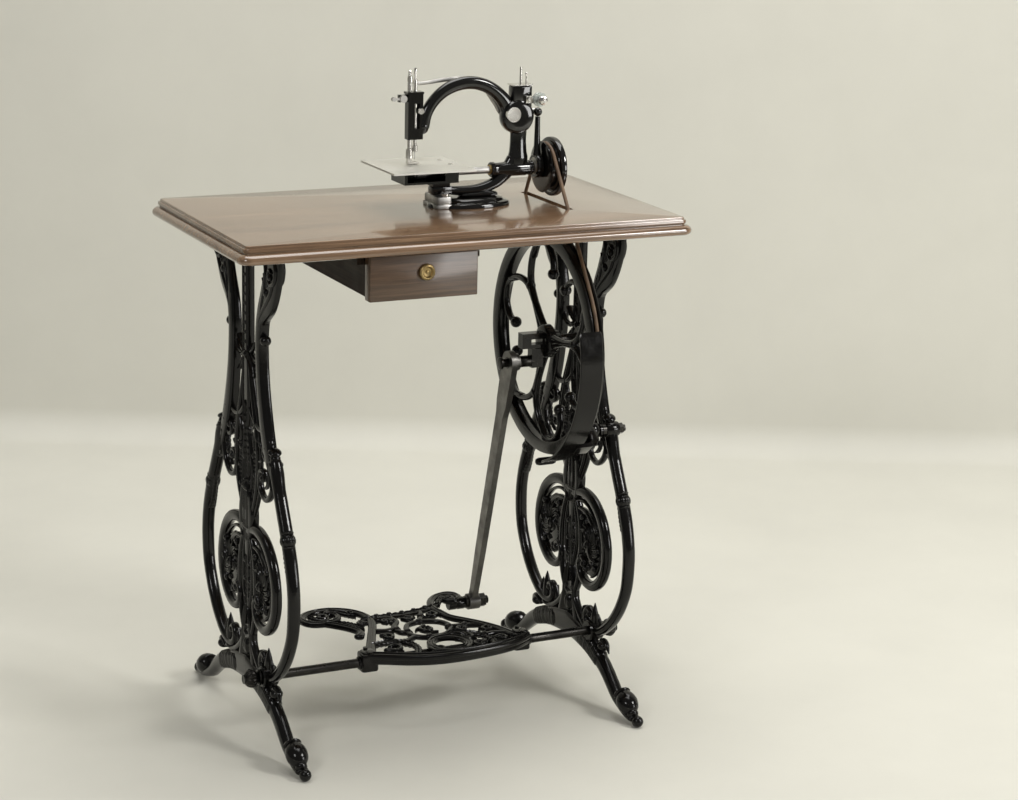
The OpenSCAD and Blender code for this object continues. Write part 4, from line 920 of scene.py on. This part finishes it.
# ring at the front
c.hoop(20, -80, [(-3.4, 22.6), (-3.6, 24), (-3.6, 31), (-3.2, 33), (2, 33.2), (4.2, 31.6), (4.6, 29.5),
                 (2.9, 28), (2.7, 25.8), (4.3, 24.3), (3.6, 22.4), (0, 21.8)], seg=56)
# clamps that hold the treadle on the stretcher rod
for s in (-1, 1):
    x = 14 + s * 117
    c.slab(rrect(x - 12.5, -87.5, x + 12.5, -62.5, 5), -22.4, 3.4, 2.2)
    c.slab(rrect(x - 9.5, -84, x + 9.5, -66, 4), 3.0, 5.6, 1.0)
    c.ball(x - s * 15, ROD[0], 7, 10, 8, -9)
    c.ball(x + s * 13.5, ROD[0], 3.5, 9.4, 9.4, -10.7)
# stud for the pitman, along X
c.place = plane_x(0)
c.turned(90, 103, [(92, 5), (92, 8), (93.5, 9.2), (103, 9.2), (104.5, 8), (105.5, 8), (107, 9.4), (116, 9.4),
                   (117.5, 8.6), (117.6, 5)])
c.build("treadle_cast", "treadle", "iron", "treadle_plate")

# lobed nuts on the stretcher rod, the left one standing in for the CAD's nuts at both ends
for s, name, nodes in ((-1, "left", ["stretcher_nuts"]), (1, "right", [])):
    c = Cast(lambda u, v, d, s=s: (s * (END_X + v), ROD[0] + u, ROD[1] + d))
    c.ball(0, 25, 12.4, 10.4, 12.4, lobes=12, amp=0.14, rows=12)
    c.turned(0, 14, [(-2.2, 8.8), (-1.4, 11), (1.0, 11), (1.8, 7.7)], "v")
    c.turned(0, 36, [(-2.2, 5.12), (-1.4, 6.4), (0, 6.4), (-0.4, 4.48)], "v")
    c.build("stretcher_knob_" + name, "stand", "dark_steel", *nodes)
c = Cast(plane_y(ROD[0]))
profile = [(-284, 4), (-284, 6.2), (-244, 6.5)]
for x in (-238, -122, -84, 112, 150, 238):
    profile += [(x - 4, 6.5), (x - 3.2, 6.6), (x + 3.2, 6.6), (x + 4, 6.5)]
profile += [(244, 6.5), (284, 6.2), (284, 4)]
c.turned(0, ROD[1], profile, "u", 28)
c.build("stretcher_bar", "stand", "dark_steel", "stretcher_rod")

# ---------------- table and drawer

# the moulding stands this far out from the edge of the top's upper step
MOULD_W = 11.0
HALF_L, HALF_W = 327 - MOULD_W, 190 - MOULD_W
TOP_T = 24
# belt slot: its sides, its ends at the top's upper and lower faces, and where the two faces are split
SLOT_X = (183.0, 195.0)
SLOT_TOP_Y, SLOT_UNDER_Y = (-80.5, 66), (-97.5, 78.5)
SPLIT_Y = -7.0


def outline(o, r, n=9):
    """The top's outline moved out by o, with corners of radius r, starting and turning on SPLIT_Y."""
    L, W = HALF_L + o, HALF_W + o
    corners = ((L - r, W - r, 0), (-L + r, W - r, 90), (-L + r, -W + r, 180), (L - r, -W + r, 270))
    arcs = [[polar(r, a + 90 * k / n, (x, y)) for k in range(n + 1)] for x, y, a in corners]
    return [(L, SPLIT_Y)] + arcs[0] + arcs[1] + [(-L, SPLIT_Y)] + arcs[2] + arcs[3]


c = Cast(plane_z(T))
# edge moulding from the top face down to the under face: (out, up)
moulding = [(-1.6, 0), (-0.5, -0.4), (0, -1.4), (0, -3.3), (2.6, -3.7), (3.0, -4.5), (3.0, -7.6), (2.2, -8.8),
            (0.6, -9.3), (0.6, -10.8), (4.6, -11.2), (6.8, -12.2), (8.8, -13.6), (10.2, -15.3), (11.0, -17.4),
            (11.0, -19.4), (10.3, -21.4), (8.8, -22.9), (6.4, -TOP_T)]
rings = [[(x, y, z) for x, y in outline(o, 6 + max(o, 0))] for o, z in moulding]
c.loft(rings, False, False)
n = len(rings[0])
half = n // 2
slot_at = len(c.verts)
right, left = SLOT_X[1], SLOT_X[0]
for z, (front, back) in ((0, SLOT_TOP_Y), (-TOP_T, SLOT_UNDER_Y)):
    around = [(right, back), (left, back), (left, SPLIT_Y), (left, front), (right, front), (right, SPLIT_Y)]
    c.verts += [c.place(x, y, z) for x, y in around]
# the two faces, each in a back and a front half round the slot
for base, q in ((0, slot_at), (len(rings) * n - n, slot_at + 6)):
    c.faces.append(tuple(base + k for k in range(half + 1)) + (q + 2, q + 1, q, q + 5))
    c.faces.append(tuple(base + k % n for k in range(half, n + 1)) + (q + 5, q + 4, q + 3, q + 2))
for k in range(6):
    a, b = slot_at + k, slot_at + (k + 1) % 6
    c.faces.append((a, b, b + 6, a + 6))
c.build("table_top_moulded", "stand", "walnut", "table_top", sharp=28)

DRAWER_FACE_Y = -170
c = Cast(plane_y(DRAWER_FACE_Y))
c.slab(rrect(-144, 632.5, 10, 692.5, 1.2, 2), 0, 18, 1.3)
c.build("drawer_front_board", "drawer", "drawer_wood", "drawer_front")
c = Cast(plane_y(DRAWER_FACE_Y))
c.turned(-64, 668.5, [(16.8, 2), (16.8, 3.8), (0, 3.9), (-0.1, 10.4), (-0.9, 11.1), (-2.4, 11.2),
                      (-3.7, 10.8), (-4.9, 9.8), (-5.5, 8.6), (-5.2, 7.5), (-3.9, 6.6), (-2.4, 5.8),
                      (-1.7, 4), (-1.5, 2.4), (-2.6, 1.8), (-2.9, 0.6)], seg=36)
c.build("drawer_pull_dished", "drawer", "brass", "drawer_pull")

# ---------------- machine head (u is X, v is Z)

c = Cast(plane_y(0))
# round open arm, from the needle end over to the back of the pillar
arch_centre = (68.5, T + 101)
widths = ((19, 14), (16.5, 14), (16, 13.6), (16.6, 13.6), (17.6, 14), (18, 14), (18, 14), (18.4, 14),
          (19, 14.4), (21, 15), (24, 15))
arch = [(*polar(68, 171 - 15.2 * k, arch_centre), w, deep) for k, (w, deep) in enumerate(widths)]
c.stroke(arch, OVAL, 14, 6, ends="ff")
# lower limb and pillar
c.stroke([(22, T + 23, 11), (38, T + 22.5, 12), (56, T + 20.5, 13), (84, T + 21, 14), (110, T + 28, 16),
          (128, T + 42, 19), (140, T + 58, 23)], OVAL, 15, 6)
c.stroke([(146, T + 52, 27, 17), (146, T + 62, 29, 17), (146, T + 72, 25, 16), (146, T + 88, 23, 15),
          (146, T + 102, 25, 15), (144, T + 116, 30, 15)], OVAL, 15, 6)
# boss and the block above it
c.turned(142, T + 120, [(-12, 12), (-12, 18.5), (-10.8, 22), (-8, 23.8), (3.5, 24), (6.6, 22.2), (8, 18.5),
                        (8, 12)], seg=44)
c.slab(rrect(133, T + 128, 162, T + 163, 3), -9, 8, 1.8)
# housing of the horizontal shaft
c.turned(0, SHAFT_Z, [(104, 8), (104, 9.6), (105, 10.5), (109, 10.5), (110, 9.4), (114, 9.0), (122, 9.4),
                      (130, 10.4), (156, 10.5), (160, 9.6), (162, 9.6), (163, 10.5), (167, 10.5), (168, 9.6),
                      (168, 8)], "u", 32)
# pads under the cloth plate and on the base, and the nose of the arm
c.slab(rrect(14, T + 17.1, 44, T + 29.1, 3), -9, 9, 1.6)
c.stroke([(60, T + 14.6, 6, 20), (72, T + 14.6, 8, 20), (98, T + 14.8, 9, 20), (111, T + 14.6, 6, 20)], OVAL,
         20, 5)
c.ball(2, T + 112, 8.4, 11, 7.4)
c.build("machine_arm_cast", "stand", "enamel", "machine_arm")

c = Cast(plane_z(T))
# the oval's steps: (part of the full size, height, shift of its middle)
steps = [(1.0, 0.0, 0), (1.0, 2.6, 0), (0.985, 4.4, 0), (0.95, 5.6, 0), (0.86, 6.1, 2), (0.80, 6.8, 4),
         (0.77, 8.6, 4), (0.73, 10.4, 4), (0.66, 11.4, 4), (0.4, 11.6, 4)]
oval = superellipse(56, 2.15)
c.loft([[(72 + shift + 60.4 * k * x, 34 * k * y, z) for x, y in oval] for k, z, shift in steps])
c.build("head_base_oval", "stand", "enamel", "head_base")
c = Cast(plane_z(T))
bead = ((0, 0.6), (0.8, 0), (0, -0.6), (-0.8, 0))
oval = superellipse(72, 2.15)
rings = [[(76 + (43 + out) * x * 1.06, (25.4 + out) * y, 6.6 + up) for out, up in bead] for x, y in oval]
c.loft(rings + rings[:1], False, False)
c.build("base_edge_ring", "stand", "steel")
c = Cast(plane_z(T))
c.slab(rrect(14, -26, 38, 26, 3), 0.0, 6, 1.2)
c.slab(rrect(15.5, -24, 36.5, 24, 3), 5.5, 17, 2.2)
c.build("base_block", "stand", "steel")

c = Cast(plane_x(0))
c.turned(0, SHAFT_Z, [(195.2, 5.2), (195.2, 13), (196.4, 24), (197, 31), (195.6, 34), (195.1, 36),
                      (195.1, 39.5), (195.8, 41), (197.2, 41.5), (201.6, 41.5), (203.2, 41), (204, 39.4),
                      (204, 36), (203, 34), (201.4, 32.6), (200.4, 30), (200.3, 27.6), (201.3, 26.4),
                      (201.3, 24.6), (200.3, 23.4), (200, 18), (201.2, 15.4), (204, 13.2), (205.4, 11.4),
                      (206, 9), (206, 6.2), (205.2, 5.4), (205.2, 0.6)], seg=64)
c.build("hand_wheel_turned", "shaft", "enamel", "hand_wheel")
c = Cast(plane_x(0))
c.turned(0, SHAFT_Z, [(181, 5.2), (181, 12), (182.4, 20), (181.2, 29), (182, 33), (182.8, 35.6), (183.6, 36),
                      (184.2, 35.6), (186.4, 30.0), (191.6, 30.0), (193.8, 35.6), (194.4, 36), (195, 35.6),
                      (195, 5.2)], seg=56)
c.build("belt_pulley_turned", "shaft", "enamel", "belt_pulley")

# ring round the eccentric, rod, and ball beside the lever
THROW = 2.1
LEVER_Z = T + 124.5
c = Cast(plane_x(175.5))
c.turned(0, SHAFT_Z + THROW, [(-4.2, 12.2), (-4.2, 15.8), (-3.2, 17), (3.2, 17), (4.2, 15.8), (4.2, 12.2)],
         seg=36)
c.turned(0, SHAFT_Z + THROW, [(14.5, 5.2), (17, 5.8), (20, 5.0), (24, 4.5), (44, 4.1), (66, 3.7), (69, 3.6)],
         "v", 20)
c.ball(0, LEVER_Z, 6.2)
c.turned(0, LEVER_Z, [(0, 3.4), (5, 3.4), (5.9, 2.8)], "u", 18)
c.build("eccentric_rod_turned", "rod", "enamel", "eccentric_rod")

# lever, its pivot's eye, and the finger at the needle bar
c = Cast(plane_y(10.4))
c.stroke([(180.5, LEVER_Z, 8), (158, T + 125.5, 9), (131, T + 125.5, 17), (116, T + 140, 12),
          (98, T + 160, 9), (72, T + 172, 7), (42, T + 173, 6), (14, T + 170, 5), (-4, T + 169, 4.6)], OVAL,
         3.6, 6)
c.turned(131, LEVER_Z, [(-1.8, 8), (-1.8, 9.2), (-1, 10), (1, 10), (1.8, 9.2), (1.8, 8)], seg=32)
c.slab(rrect(-6.2, T + 167.8, -1.4, T + 172.6, 1.2), -6.5, 1.8, 0.7)
c.build("needle_lever_forged", "lever", "steel", "needle_lever")


def upright_bar(name, x, body, z0, z1, tip_r):
    """Upright bar from z0 to z1 above the table, with fine grooves near its top."""
    c = Cast(plane_y(0))
    profile = [(z0, 1.6), (z0, 2.4), (z0 + 0.5, 2.8), (160, 2.8)]
    z = 176.0
    while z < min(z1 - 3, 188):
        profile += [(z, 2.8), (z + 0.5, 2.3), (z + 1.0, 2.8)]
        z += 1.2
    profile += [(z1 - 1, tip_r), (z1, 1.4)]
    c.turned(x, 0, [(T + z, r) for z, r in profile], "v", 20)
    c.build(name + "_turned", body, "nickel", name)


upright_bar("needle_bar", -10.0, "needle_bar_group", 82.1, 192, 2.0)
upright_bar("presser_bar", -18.0, "presser_group", 74, 189, 2.6)

# rounded edges in mm on the CAD nodes that keep their plain forms
ROUNDED = {
    0.15: ["needle_plate"],
    0.2: ["feed_dog"],
    0.3: ["presser_lifter", "needle_clamp"],
    0.35: ["spool_plate"],
    0.4: ["tension_bracket", "tension_nut", "tension_stud", "presser_foot", "presser_nut", "drawer_bottom",
          "plate_screws", "main_shaft", "pitman_bush", "eccentric", "shaft_bushes"],
    0.5: ["drawer_sides", "drawer_back", "frame_screws", "base_bolts"],
    0.6: ["treadle_bolts"],
    0.7: ["cloth_plate", "drawer_runners", "lever_pivot"],
    0.8: ["guard_bolt", "pitman_bolts"],
    0.9: ["feed_housing", "wheel_stud"],
    1.0: ["needle_head"],
    1.3: ["pitman_rod"],
    1.4: ["crank"],
}
for width, names in ROUNDED.items():
    for name in names:
        edge = N[name].modifiers.new("edge", "BEVEL")
        edge.width = width / MM
        edge.segments = 2
        edge.limit_method = "ANGLE"
        edge.angle_limit = radians(32)
        edge.use_clamp_overlap = True
